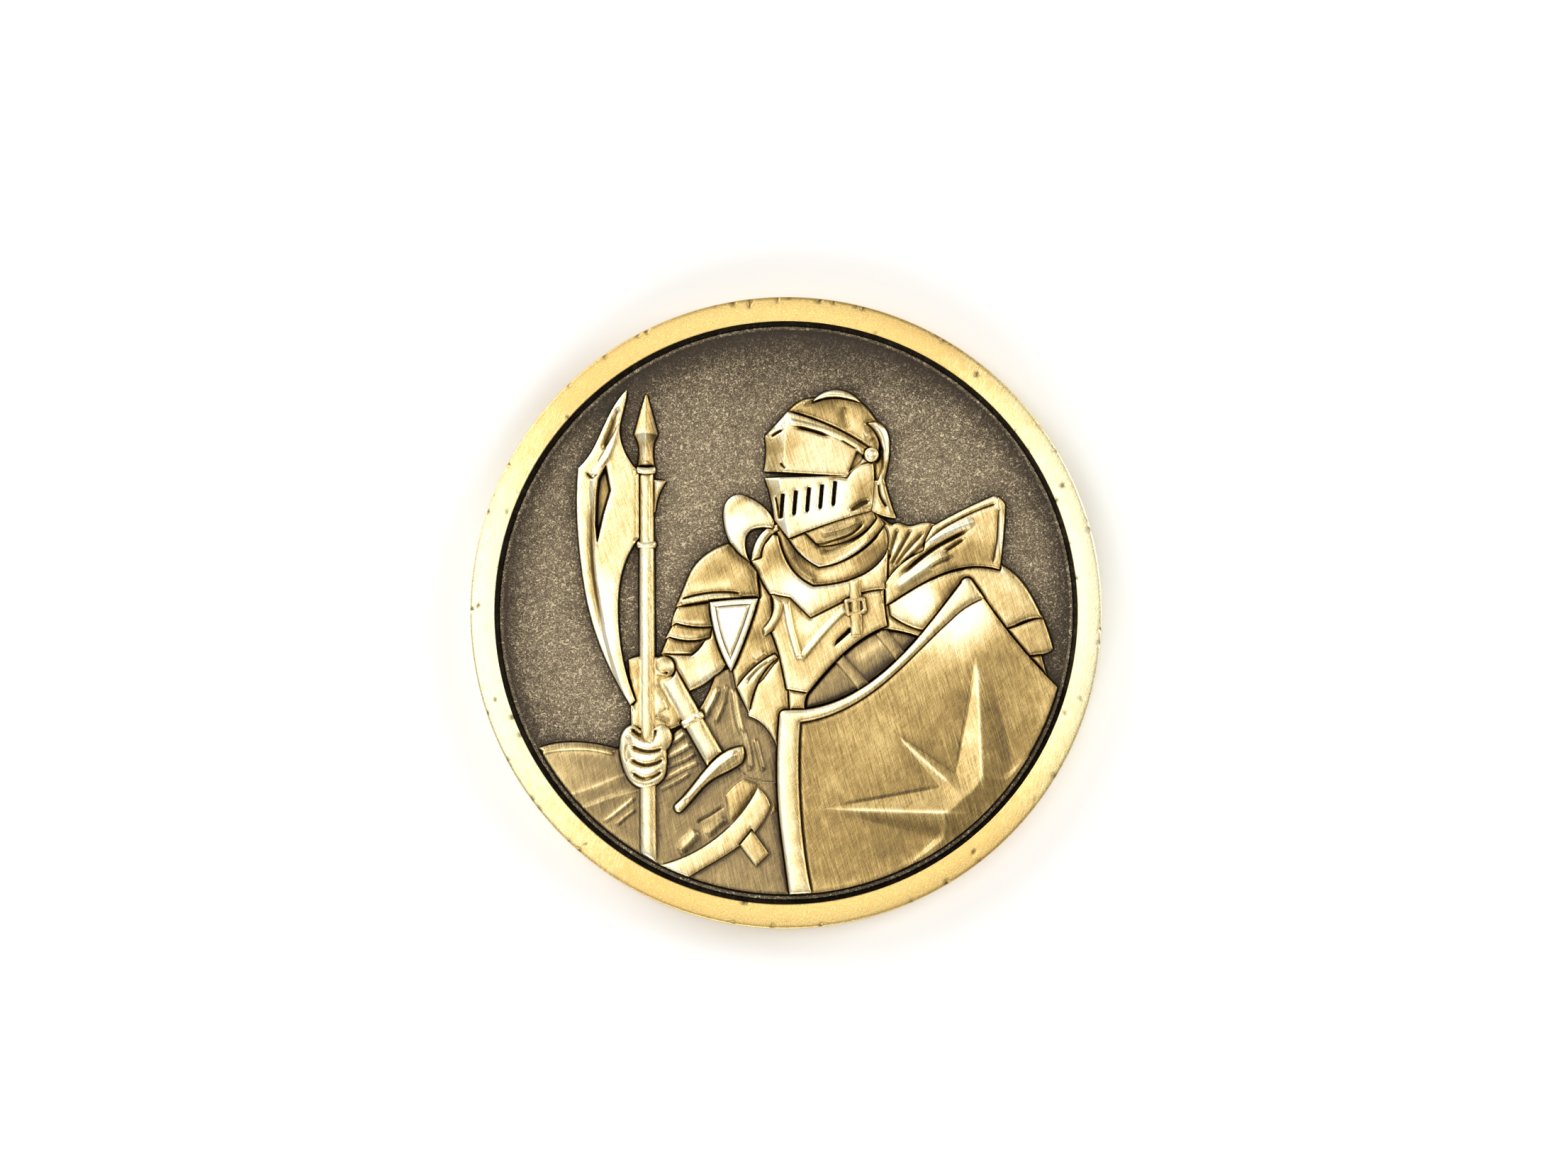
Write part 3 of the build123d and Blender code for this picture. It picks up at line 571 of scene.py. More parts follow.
# the shoulder and arm behind the shield
look("haute_right", bulge=0.02, tone=0.7, marks=(
    ledge([(15.1, 3.2), (15, 5.2), (14.98, 7.35)], -0.07, 0.07),
    groove([(14.55, 3.4), (14.85, 5), (14.95, 6.6), (15.02, 7.35)], 0.07, 0.1, 0.05),
    groove([(9.7, 4.8), (10.8, 5.75), (12.2, 6.55), (13.6, 7.2), (14.85, 7.65)], 0.07, 0.12, 0.05),
    groove([(7.9, 2.4), (9.3, 3.65), (10.6, 4.6), (12, 5.35), (13.4, 6.05)], 0.13, 0.24, 0.25),
    crest([(9.9, 4.85), (11.4, 5.7), (13.4, 6.5)], 0.25, 0.08),
    groove([(11.1, 4.2), (11.8, 4.65), (12.7, 5.25)], 0.1, 0.14, 0.25),
    crest([(7.6, 1.6), (9.4, 2.9), (11.6, 4.2)], 0.35, 0.1),
    groove([(9.9, 2.95), (10.8, 3.45), (12, 3.95)], 0.12, 0.1, 0.3)), shine=(
    stroke([(9.7, 4.6), (11.5, 5.7), (13.6, 6.4)], 0.35, 0.5),
    stroke([(7.5, 1.7), (9.4, 3), (11.2, 4.2)], 0.35, 0.4),
    blot((12.8, 4), 1.3, -0.25), blot((11.6, 3.3), 0.8, -0.25), blot((14.3, 3.9), 0.7, -0.2),
    stroke([(15.2, 3.4), (15.25, 7.2)], 0.2, 0.35), blot((13.6, 5.6), 0.8, 0.1)))
look("mail_collar", tone=0.62, marks=(
    *each(groove, (0.11, 0.12), [(7.2, 3.6), (7.5, 4.6), (7.9, 5.9)],
          [(7.35, 3.1), (8.1, 4.5), (8.9, 5.9)], [(7.6, 3.1), (8.6, 4.4), (9.8, 5.7)]),
    groove([(8.1, 3.3), (9.2, 4.3), (10.2, 5.2)], 0.1, 0.1)), shine=(
    stroke([(7.4, 4), (8.3, 5.4)], 0.16, 0.4), stroke([(8, 3.6), (9.4, 5.2)], 0.16, 0.3)))
look("pauldron_right", bulge=0.16, tone=0.73, marks=(
    groove([(10, 2.4), (11.4, 3), (12.8, 3.1)], 0.2, 0.08),), shine=(
    blot((9.3, 0.6), 1.3, 0.75), blot((8.6, -0.7), 0.7, -0.2), blot((11.4, 1.6), 0.8, -0.2),
    blot((15, 2.1), 0.7, 0.1)))
look("rerebrace_right", bulge=0.12, tone=0.6, marks=(
    groove([(15.9, -0.95), (16.6, -0.75), (17.6, -0.35)], 0.09, 0.16, 0.2),))
look("lame_right", tone=0.5)
look("enarmes", bulge=0.04, tone=0.42)
look("vambrace_right", bulge=0.2, tone=0.34, marks=(
    groove([(7.2, -1.9), (8.6, -3.6)], 0.06, 0.08),), shine=(
    stroke([(4.6, -3.6), (6.6, -2.2), (8.2, -1.4)], 0.4, 0.4),
    stroke([(5.2, -4.7), (7.6, -3.2)], 0.3, -0.2)))
# the shoulder and arm beside the pole
look("pauldron_left", bulge=0.26, tone=0.5, marks=(
    groove([(-7.4, 0.95), (-6.2, 1.25), (-5, 1.42), (-3.9, 1.42), (-3.15, 1.32)], 0.07, 0.15, 0.06),
    crest([(-7.4, 0.6), (-5.8, 0.95), (-4.2, 1.1), (-3, 1)], 0.16, 0.08, 0.05)), shine=(
    stroke([(-6.9, 1.5), (-5, 1.9), (-3.4, 2.1)], 0.4, 0.35),
    stroke([(-7.4, 0.7), (-5.6, 1.05), (-3.2, 1.1)], 0.22, 0.5), blot((-3.5, 2.5), 0.8, 0.2)))
look("arm_lame_upper", bulge=0.1, tone=0.48, shine=(
    stroke([(-7.9, -0.65), (-5.5, -0.75)], 0.16, 0.5),))
look("arm_lame_middle", bulge=0.1, tone=0.5, shine=(
    stroke([(-8.4, -1.65), (-5.9, -1.8)], 0.16, 0.5),))
look("arm_lame_lower", bulge=0.1, tone=0.46, shine=(
    stroke([(-8.6, -2.75), (-6.7, -2.8)], 0.16, 0.5),))
look("couter_left", bulge=0.2, tone=0.8, shine=(
    blot((-7, -3.6), 0.5, -0.1), blot((-5.6, -4.4), 0.9, 0.3)))
look("besagew_left", bulge=0.03, tone=1.1, inset=(0.4, 0.085, 0.13), shine=(
    blot((-4.3, -0.6), 1.2, 0.3),))
# chest
look("breastplate", bulge=0.12, tone=0.8, shine=(
    blot((-1, 4), 0.9, -0.4), blot((1, 1.7), 1.3, 0.6), blot((-1.6, 2.9), 0.5, -0.25)))
look("plackart", tone=0.74, marks=(
    band([(0, 0.9), (0.3, -0.9), (0.65, -2.2), (1, -3.35)], 0.42, 0.07, 0.08),
    band([(1, -3.35), (1.9, -2.2), (3.1, -0.8), (4.3, 0.35)], 0.42, 0.07, 0.08),
    hollow([(3.45, -2.35), (4.65, -1.3), (4.75, -1.05), (4.5, -1.1), (3.6, -1.95)], 0.25, 0.12)),
    shine=(
    *each(stroke, (0.22, 0.3), [(0, 0.9), (0.65, -2.2), (1, -3.35)],
          [(1, -3.35), (1.9, -2.2), (4.3, 0.35)]),
    blot((1.5, -1), 0.8, 0.35), blot((0.9, -5.2), 0.7, 0.2)))
look("strap_left", tone=0.7, bulge=0.08)
look("strap_right", tone=0.62, bulge=0.08)
look("buckle_right", tone=0.66, bulge=0.08)
look("tasset_left", bulge=0.1, tone=0.78, marks=(
    groove([(-1, -3.35), (-1.9, -4), (-2.8, -5)], 0.12, 0.1),))
look("side_plate", bulge=0.08, tone=0.68, marks=(
    crest([(-1.4, -2.8), (-2.2, -3.4)], 0.3, 0.06),
    groove([(-0.75, -3.4), (-0.5, -4.6), (-0.1, -5.8)], 0.12, 0.08)), shine=(
    blot((-2, -1.6), 0.8, -0.25),))
look("fauld_left", bulge=0.08, tone=0.8)
# cloth, belt and scabbard
look("belt_end", tone=0.66)
look("sword_belt", bulge=0.06, tone=0.76)
look("scabbard", bulge=0.14, tone=0.55)
look("tabard", **FOLD, tone=0.4, marks=(
    crest([(-4.7, -5.2), (-5.2, -6.3), (-5.9, -7.6)], 0.16, 0.1),
    crest([(-4.2, -5), (-4.4, -6.4), (-5, -7.9)], 0.12, 0.08),
    crest([(-3.7, -5.2), (-3.5, -7), (-3.1, -8.6)], 0.2, 0.1),
    crest([(-3.1, -8.2), (-2.7, -9.6), (-2.5, -11.2)], 0.18, 0.1),
    crest([(-2.2, -8.8), (-1.9, -10), (-1.6, -11.2)], 0.16, 0.08),
    crest([(-1, -11.9), (-0.9, -13.6), (-0.8, -15)], 0.2, 0.07)), shine=(
    stroke([(-4.7, -5.2), (-5.9, -7.6)], 0.22, 0.3), stroke([(-3.7, -5.2), (-3.1, -8.6)], 0.25, 0.35),
    stroke([(-3.1, -8.2), (-2.5, -11.2)], 0.25, 0.25)))
look("cloak", **FOLD, tone=0.385, marks=(
    crest([(-17.3, -9.75), (-15.6, -9.5), (-13.8, -9.5), (-12, -9.85)], 0.16, 0.08, 0.05),
    ledge([(-11.2, -11.25), (-13, -12), (-15.2, -12.8)], 0.06, 0.08, 0.5),
    ledge([(-10.4, -12.4), (-12.3, -12.95), (-14.3, -13.7)], 0.05, 0.08, 0.4),
    crest([(-12.9, -14.8), (-11.7, -13.9), (-10.5, -12.9)], 0.1, 0.06),
    crest([(-12, -15), (-11.2, -14.3), (-10.5, -13.8)], 0.1, 0.05),
    crest([(-8.3, -9.25), (-7.6, -8.9), (-7, -8.4)], 0.14, 0.07),
    crest([(-8.5, -10.2), (-7.4, -9.7), (-6.6, -9.2)], 0.14, 0.08),
    crest([(-8.6, -10.9), (-7.2, -10.4), (-6.2, -9.8)], 0.1, 0.06),
    crest([(-8.7, -11.8), (-7.2, -11), (-5.9, -10.4)], 0.12, 0.07),
    crest([(-8.9, -12.5), (-7.5, -11.8), (-6.6, -11.2)], 0.1, 0.06),
    crest([(-7.6, -16.9), (-6.8, -16.1), (-6.2, -15.3)], 0.3, 0.08),
    groove([(-6.3, -14.8), (-5.2, -14.2), (-4.3, -13.6)], 0.08, 0.08),
    crest([(-5.6, -15.7), (-4.9, -15), (-4.2, -14.4)], 0.25, 0.06)), shine=(
    stroke([(-17.2, -9.9), (-15, -9.7), (-12.2, -10)], 0.25, 0.35), blot((-15.5, -11), 1.4, 0.15),
    stroke([(-15, -12.7), (-13, -12.1), (-11.2, -11.5)], 0.3, 0.25),
    stroke([(-14, -13.7), (-12.3, -12.9), (-10.5, -12.6)], 0.25, 0.25),
    stroke([(-12.8, -14.8), (-10.5, -13)], 0.2, 0.3), stroke([(-8.5, -10.2), (-6.6, -9.2)], 0.2, 0.35),
    *each(stroke, (0.2, 0.3), [(-8.7, -11.8), (-5.9, -10.4)], [(-8.3, -9.2), (-7, -8.4)]),
    stroke([(-7.4, -16.5), (-6.2, -15.4)], 0.4, 0.3), blot((-5.6, -15.4), 0.5, 0.2)))


# ---------- sculpted relief
def build_mesh(name, verts, tris, attributes, smooth_faces=None):
    """Object made of triangles, in mm, with one number at each point for every attribute."""
    mesh = bpy.data.meshes.new(name)
    mesh.vertices.add(len(verts))
    mesh.vertices.foreach_set("co", (verts * MM).astype(np.float32).ravel())
    mesh.loops.add(len(tris) * 3)
    mesh.loops.foreach_set("vertex_index", tris.astype(np.int32).ravel())
    mesh.polygons.add(len(tris))
    mesh.polygons.foreach_set("loop_start", np.arange(0, len(tris) * 3, 3, dtype=np.int32))
    mesh.update(calc_edges=True)
    for key, values in attributes.items():
        layer = mesh.attributes.new(key, "FLOAT", "POINT")
        layer.data.foreach_set("value", values.astype(np.float32))
    everywhere = np.ones(len(tris), bool)
    mesh.polygons.foreach_set("use_smooth", everywhere if smooth_faces is None else smooth_faces)
    mesh.validate()
    obj = bpy.data.objects.new(name, mesh)
    bpy.context.scene.collection.objects.link(obj)
    return obj


MARK_GAIN = 1.3                      # how much deeper the marks are cut than the table says
FILM_REACH = 0.25                    # width of the band where the swell starts from the outline
CREASE_WIDTH = 0.13
FOOT = 0.03                          # how far the sides go down into the disc
TIP_DROP = 0.12                      # how far the outline of a wreath leaf lies under its middle
CLOTH = ("cloak", "tabard", "vambrace_right", "enarmes")
back_nodes = [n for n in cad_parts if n.startswith("wreath") or n == "reverse_ring"]
front_nodes = [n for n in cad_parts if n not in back_nodes + ["rim_ring", "centre_disc"]]


class Piece:
    """One sculpted piece: its outline, its fine mesh and its height over the field."""

    def __init__(self, name, up):
        low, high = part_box(name)
        self.name = name
        self.up = up
        self.top = (high.z / MM - FIELD_Z) if up > 0 else (BACK_Z - low.z / MM)
        self.look = LOOKS.get(name, PLAIN)
        loops = [resample(loop, FINE * 0.9) for loop in top_loops(name, up)]
        self.outline = Outline([loop for loop in loops if len(loop) > 3])
        self.mask = fill(self.outline.loops)

    def make_mesh(self):
        """Fine triangles between the outlines, with rings of points along them."""
        outline = self.outline
        grid = hexagonal(outline.points.min(0), outline.points.max(0), FINE)
        grid = grid[self.mask[cells(grid)]]
        if len(grid):
            grid = grid[outline.nearest(grid)[0] > SHOULDER[-1] + FINE * 0.45]
        rings = [grid]
        for offset in SHOULDER:
            moved = outline.points + offset * outline.inward
            rings.append(moved[outline.nearest(moved)[0] > offset * 0.93])
        self.verts, self.tris = triangulate(outline.loops, np.concatenate(rings))
        self.depth, self.near = outline.nearest(self.verts)

    def find_neighbours(self, heights):
        """Where higher ground stands beside the outline: 1 there, 0 beside lower ground."""
        outside = self.outline.points - CREASE_WIDTH * self.outline.inward
        rise = np.clip((sample(heights, outside) - self.top) / 0.04, -1, 1)
        self.below = self.outline.soften(rise)[self.near] * 0.5 + 0.5

    def swelling(self):
        """Rise of the surface, 0 at the outline and 1 at the middle."""
        film, d = swell(self.mask), self.depth
        inner = self.outline.points + FILM_REACH * self.outline.inward
        slope = np.clip(sample(film, inner) / FILM_REACH, 0.02, 8)
        slope = self.outline.soften(slope, 4)[self.near]
        share = smooth(d / FILM_REACH)
        return np.sqrt(np.clip(slope * d * (1 - share) + sample(film, self.verts) * share, 0, 1))

    def sculpt(self):
        """Height of each point over the field, as the table of looks says."""
        look, d = self.look, self.depth
        z = np.full(len(d), self.top - look["bulge"] * 0.6)
        if look["bulge"]:
            z += look["bulge"] * (self.swelling() - 0.4)
        if look["roof"]:
            z += look["roof"] * (np.minimum(d / max(d.max(), 1e-6), 1) - 1)
        if look["facet"]:
            z = look["facet"][0] + look["facet"][1] * d
        if look["inset"]:
            at, width, deep = look["inset"]
            z -= deep * np.exp(-((d - at) / width) ** 2)
        for mark in look["marks"]:
            z += MARK_GAIN * mark(self.verts)
        t = np.clip(d / look["round"], 0, 1)
        convex = look["edge"] * (1 - np.sqrt(1 - (1 - t) ** 2))
        concave = look["trough"] * np.exp(-(d / CREASE_WIDTH) ** 2)
        z -= convex * (1 - self.below) + concave * self.below
        self.z = np.clip(z, LOWEST, HIGHEST)

    def round_over(self):
        """Plain rounded top for a piece of the reverse."""
        full = self.depth / max(self.depth.max(), 1e-6)
        self.z = self.top - TIP_DROP + TIP_DROP * np.sqrt(np.clip(full, 0, 1))

    def add_object(self, cavity, tone):
        """Builds the sculpted top with its sides, in place of the CAD node."""
        base = FIELD_Z if self.up > 0 else BACK_Z
        surface = np.column_stack([self.verts, base + self.up * self.z])
        edges = border_edges(self.tris.tolist())
        border = sorted({p for pair in edges for p in pair})
        lookup = {p: len(surface) + i for i, p in enumerate(border)}
        foot = np.column_stack([self.verts[border], np.full(len(border), base - self.up * FOOT)])
        sides = [f for p, q in edges for f in ((q, p, lookup[p]), (q, lookup[p], lookup[q]))]
        tris = np.concatenate([self.tris, np.array(sides)])
        obj = build_mesh("relief." + self.name, np.concatenate([surface, foot]), tris[:, ::self.up], {
            # the sides get a cavity that paints them black: painted shade with patina
            "cavity": np.concatenate([cavity, np.full(len(border), 0.3)]),
            "tone": np.concatenate([tone, np.zeros(len(border))])}, np.arange(len(tris)) < len(self.tris))
        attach(obj, "root")
        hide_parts(self.name)
        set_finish(obj, "cloth_relief" if self.name in CLOTH else "relief")
        return obj


def levels(pieces):
    """CAD height of the highest piece over each cell of the map, and which piece it is (-1 for none)."""
    owner = np.full((MAP_N, MAP_N), -1)
    plateau = np.zeros((MAP_N, MAP_N))
    for i, piece in enumerate(pieces):
        higher = piece.mask & (piece.top > plateau)
        plateau[higher] = piece.top
        owner[higher] = i
    return plateau, owner


def sculpted_heights(pieces, owner):
    """Sculpted height over each cell of the map, in mm above the field."""
    total = np.zeros(owner.shape)
    count = (owner < 0).astype(float)
    for i, piece in enumerate(pieces):
        row, column = cells(piece.verts)
        mine = owner[row, column] == i
        np.add.at(total, (row[mine], column[mine]), piece.z[mine])
        np.add.at(count, (row[mine], column[mine]), 1)
    heights = np.clip(blur(total, 0.035), 0, None) / np.maximum(blur(count, 0.035), 0.02)
    heights[map_rim] = 0.0
    return heights


PAINTED_LIGHT_WAY = math.radians(165)         # the side that the painted light falls from: slopes facing it get painted highlight, slopes facing away painted shade
PAINTED_LIGHT_GAIN, PAINTED_LIGHT_LIMIT = 1.3, 0.18
PROUD_GAIN, PROUD_LIMITS = 0.9, (-0.3, 0.2)
CREASE_GAIN, CREASE_LIMIT = 2.6, 0.2


def finish_front(pieces, heights):
    """Builds the obverse's pieces: bright where they stand proud (burnish), with painted highlight on
    slopes facing one side and painted shade on slopes facing away, and dark in creases from patina and
    painted shade.
    """
    near_ground, mid_ground, wide_ground = (blur(heights, reach) for reach in (0.11, 0.26, 0.6))
    fall_y, fall_x = np.gradient(-blur(heights, 0.1), MAP_STEP)
    # painted light from one side: slopes that face it get a painted highlight, slopes that face away get
    # painted shade
    facing_painted_light = PAINTED_LIGHT_GAIN * (fall_x * math.cos(PAINTED_LIGHT_WAY) + fall_y * math.sin(PAINTED_LIGHT_WAY))
    painted_side_light = np.clip(facing_painted_light, -PAINTED_LIGHT_LIMIT, PAINTED_LIGHT_LIMIT)
    objects = []
    for piece in pieces:
        # how far the point lies below its near surroundings, which the material paints brown and black:
        # patina and painted shade
        cavity = sample(near_ground, piece.verts) - piece.z
        # patina and painted shade: darker where the piece lies below its surroundings, as in the creases
        # beside higher pieces
        crease = np.clip(sample(mid_ground, piece.verts) - piece.z, 0, CREASE_LIMIT)
        proud = np.clip((piece.z - sample(wide_ground, piece.verts)) * PROUD_GAIN, *PROUD_LIMITS)
        tone = piece.look["tone"] + proud - crease * CREASE_GAIN + sample(painted_side_light, piece.verts)
        # painted highlights and painted shade, patch by patch, with some burnish
        for patch in piece.look["shine"]:
            tone = tone + patch(piece.verts)
        objects.append(piece.add_object(cavity, tone))
    return objects


def finish_back(pieces):
    """Builds the reverse's pieces, darker towards their outlines."""
    drops = [piece.top - piece.z for piece in pieces]
    return [piece.add_object(drop * 0.5 - 0.02, 0.85 - drop * 2) for piece, drop in zip(pieces, drops)]


front = [Piece(name, 1) for name in front_nodes]
back = [Piece(name, -1) for name in back_nodes]
plateau, owner = levels(front)
for piece in front + back:
    piece.make_mesh()
for piece in front:
    piece.find_neighbours(plateau)
    piece.sculpt()
for piece in back:
    piece.round_over()
relief_objects = finish_front(front, sculpted_heights(front, owner)) + finish_back(back)


# ---------- rim, turned
CROWN = 0.035                        # how far the land falls from its middle to its edges
NOSE = 0.12                          # radius of the outer corners
LIP = 0.06                           # radius of the inner corners
TURNS = 1300
DENTS, DEEPEST_DENT = 90, 0.09


def rim_profile():
    """Section of the rim as (radius, height), anticlockwise, with rounded corners."""
    points = []

    def sag(r):
        return CROWN * ((r - (LAND_R + COIN_R) / 2) / ((COIN_R - LAND_R) / 2)) ** 2

    def corner(r, z, start, stop, radius, steps):
        for a in np.radians(np.linspace(start, stop, steps)):
            points.append((r + radius * math.cos(a), z + radius * math.sin(a)))

    corner(COIN_R - NOSE, COIN_H - CROWN - NOSE, 0, 80, NOSE, 7)
    for r in np.linspace(COIN_R - NOSE - 0.05, LAND_R + 0.1, 14):
        points.append((r, COIN_H - sag(r)))
    corner(LAND_R + LIP, COIN_H - CROWN - 0.05, 95, 165, LIP, 4)
    for share in np.linspace(0.15, 1, 6):
        points.append((LAND_R + (FIELD_R - LAND_R) * share,
                       COIN_H - CROWN - LIP + (FIELD_Z - COIN_H + CROWN + LIP) * share))
    for share in np.linspace(0, 0.85, 4):
        points.append((FIELD_R + (LAND_R - FIELD_R) * share, BACK_Z + (CROWN + LIP - BACK_Z) * share))
    corner(LAND_R + LIP, CROWN + 0.05, 195, 265, LIP, 4)
    for r in np.linspace(LAND_R + 0.1, COIN_R - NOSE - 0.05, 14):
        points.append((r, sag(r)))
    corner(COIN_R - NOSE, CROWN + NOSE, 280, 360, NOSE, 7)
    for z in np.linspace(0.5, COIN_H - 0.5, 8):
        points.append((COIN_R, z))
    return np.array(points)


def dents(angle, profile):
    """Small knocks along the rim's corners: how far each point is pushed down and in."""
    depth = np.zeros((len(angle), len(profile)))
    for _ in range(DENTS):
        at, width = rng.uniform(-math.pi, math.pi), rng.uniform(0.0025, 0.009)
        anywhere = rng.uniform(LAND_R, COIN_R)
        r = rng.choice([COIN_R - 0.04, COIN_R - 0.1, COIN_R - 0.06, LAND_R + 0.05, anywhere])
        upper = rng.random() < 0.75
        reach, deep = rng.uniform(0.08, 0.22), rng.uniform(0.02, 0.075)
        z = COIN_H if upper else 0.0
        turn = np.abs((angle - at + math.pi) % (2 * math.pi) - math.pi)
        share = np.exp(-(turn / width) ** 2)[:, None]
        hit = np.exp(-(((profile[:, 0] - r) / reach) ** 2 + ((profile[:, 1] - z) / 0.2) ** 2))[None, :]
        depth += deep * share * hit
    return np.minimum(depth, DEEPEST_DENT)


def turned_mesh(profile, angles, pushed):
    """Points and triangles of the section turned about the coin's axis, with its dents."""
    r = profile[None, :, 0] - pushed * 0.4 * np.sign(profile[None, :, 0] - (LAND_R + COIN_R) / 2)
    z = profile[None, :, 1] - pushed * np.sign(profile[None, :, 1] - COIN_H / 2)
    verts = np.stack([r * np.cos(angles)[:, None], r * np.sin(angles)[:, None], z], 2).reshape(-1, 3)
    index = np.arange(pushed.size).reshape(pushed.shape)
    across, ahead = np.roll(index, -1, 1), np.roll(index, -1, 0)
    far = np.roll(ahead, -1, 1)
    tris = np.concatenate([np.stack([index.ravel(), far.ravel(), across.ravel()], 1),
                           np.stack([index.ravel(), ahead.ravel(), far.ravel()], 1)])
    return verts, tris


def make_rim():
    """The rim ring, marked where it is inner wall (painted black as shade), where it is dented and darkened
    along its outer corner, and where a painted sheen makes it pale.
    """
    profile = rim_profile()
    angles = np.linspace(0, 2 * math.pi, TURNS, endpoint=False)
    pushed = dents(angles, profile)
    from_middle = np.abs(profile[:, 1] - COIN_H / 2)
    # painted shade: the inner wall is painted black
    wall = (profile[:, 0] < LAND_R + 0.012) & (from_middle < COIN_H / 2 - 0.05)
    # a thin ring along the rounded outer corner of both faces is darkened with the dents' brown
    corner_line = 0.6 * np.exp(-((profile[:, 0] - COIN_R + NOSE * 0.7) / 0.05) ** 2)
    # painted sheen: the rim is painted pale on two opposite sides
    painted_sheen = 0.5 + 0.5 * np.cos(2 * angles - 0.25)
    return build_mesh("rim", *turned_mesh(profile, angles, pushed), {
        "wall": np.tile(wall.astype(float), TURNS),
        "dent": np.clip(pushed / 0.05 + corner_line, 0, 1).ravel(),
        "painted_sheen": np.repeat(painted_sheen, len(profile))})


rim = make_rim()
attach(rim, "root")
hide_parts("rim_ring")
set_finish(rim, "rim")


# ---------- disc with both fields
RING_POINTS = 720
LEDGE_WIDTH = 0.2                    # bare strip that the reverse keeps beside the rim
MOAT_BLUR = 0.12                     # reach of the black line beside each piece: painted shade with patina
WALL_LINE = 0.05                     # width of the black line at the foot of the rim wall: painted shade


def circle(radius):
    """Even points round the coin's axis."""
    turn = np.linspace(0, 2 * math.pi, RING_POINTS, endpoint=False)
    return np.stack([np.cos(turn), np.sin(turn)], 1) * radius


def field_face(pieces, spacing, relief_r, upper_shade):
    """Mesh of one field, with its black lines (moat) and its broad darkening (shade) at each point.

    The black lines are painted shade with patina beside the pieces and painted shade at the foot of the rim
    wall; the broad darkening is painted shade beside the pieces and near the rim wall, and the field is
    also darker towards the top. Beyond relief_r the field is a bare ledge with less of both than the rest."""
    cover = np.any([piece.mask for piece in pieces], 0).astype(float)
    extra = [circle(relief_r + offset) for offset in (0.05, 0.12, 0.2)]
    extra += [circle(FIELD_R - offset) for offset in (0.1, 0.06)]
    for piece in pieces:
        for offset in (0.02, 0.08, 0.14, 0.22):
            moved = (piece.outline.points - offset * piece.outline.inward)[::2]
            extra.append(moved[sample(cover, moved) < 0.6])
    extra = [p[np.hypot(p[:, 0], p[:, 1]) < FIELD_R - WALL_LINE] for p in extra]
    grid = hexagonal((-FIELD_R, -FIELD_R), (FIELD_R, FIELD_R), spacing)
    grid = grid[np.hypot(grid[:, 0], grid[:, 1]) < FIELD_R - spacing * 0.5]
    grid = grid[sample(blur(cover, 0.2), grid) < 0.97]
    verts, tris = triangulate([circle(FIELD_R)], np.concatenate([grid] + extra))
    radius = np.hypot(verts[:, 0], verts[:, 1])
    bare = smooth((radius - relief_r - 0.09) / 0.06)
    # black lines: painted shade with patina beside the pieces, and painted shade at the foot of the rim
    # wall
    moat = np.maximum(sample(blur(cover, MOAT_BLUR), verts) * (1 - 0.95 * bare),
                      smooth((radius - FIELD_R + WALL_LINE) / WALL_LINE))
    # painted shade beside the pieces and near the rim wall, and darker towards the top
    shade = (sample(blur(cover, 0.7), verts) + np.exp(-(FIELD_R - radius) / 1.3)
             + upper_shade * smooth((verts[:, 1] - 11) / 9))
    return verts, tris, moat, np.clip(shade, 0, 1.2) * (1 - 0.8 * bare)


def make_disc():
    """Both fields of the coin, as one object."""
    relief_r = max(np.hypot(*piece.outline.points.T).max() for piece in front)
    verts, tris, moat, shade = field_face(front, 0.13, relief_r, 0.4)
    below, below_tris, below_moat, below_shade = field_face(
        back, 0.25, FIELD_R - LEDGE_WIDTH, 0.0)
    points = np.concatenate([np.column_stack([verts, np.full(len(verts), FIELD_Z)]),
                             np.column_stack([below, np.full(len(below), BACK_Z)])])
    return build_mesh("field", points, np.concatenate([tris, below_tris[:, ::-1] + len(verts)]), {
        "moat": np.concatenate([moat, below_moat]), "shade": np.concatenate([shade, below_shade])})


disc = make_disc()
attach(disc, "root")
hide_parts("centre_disc")
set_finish(disc, "field")


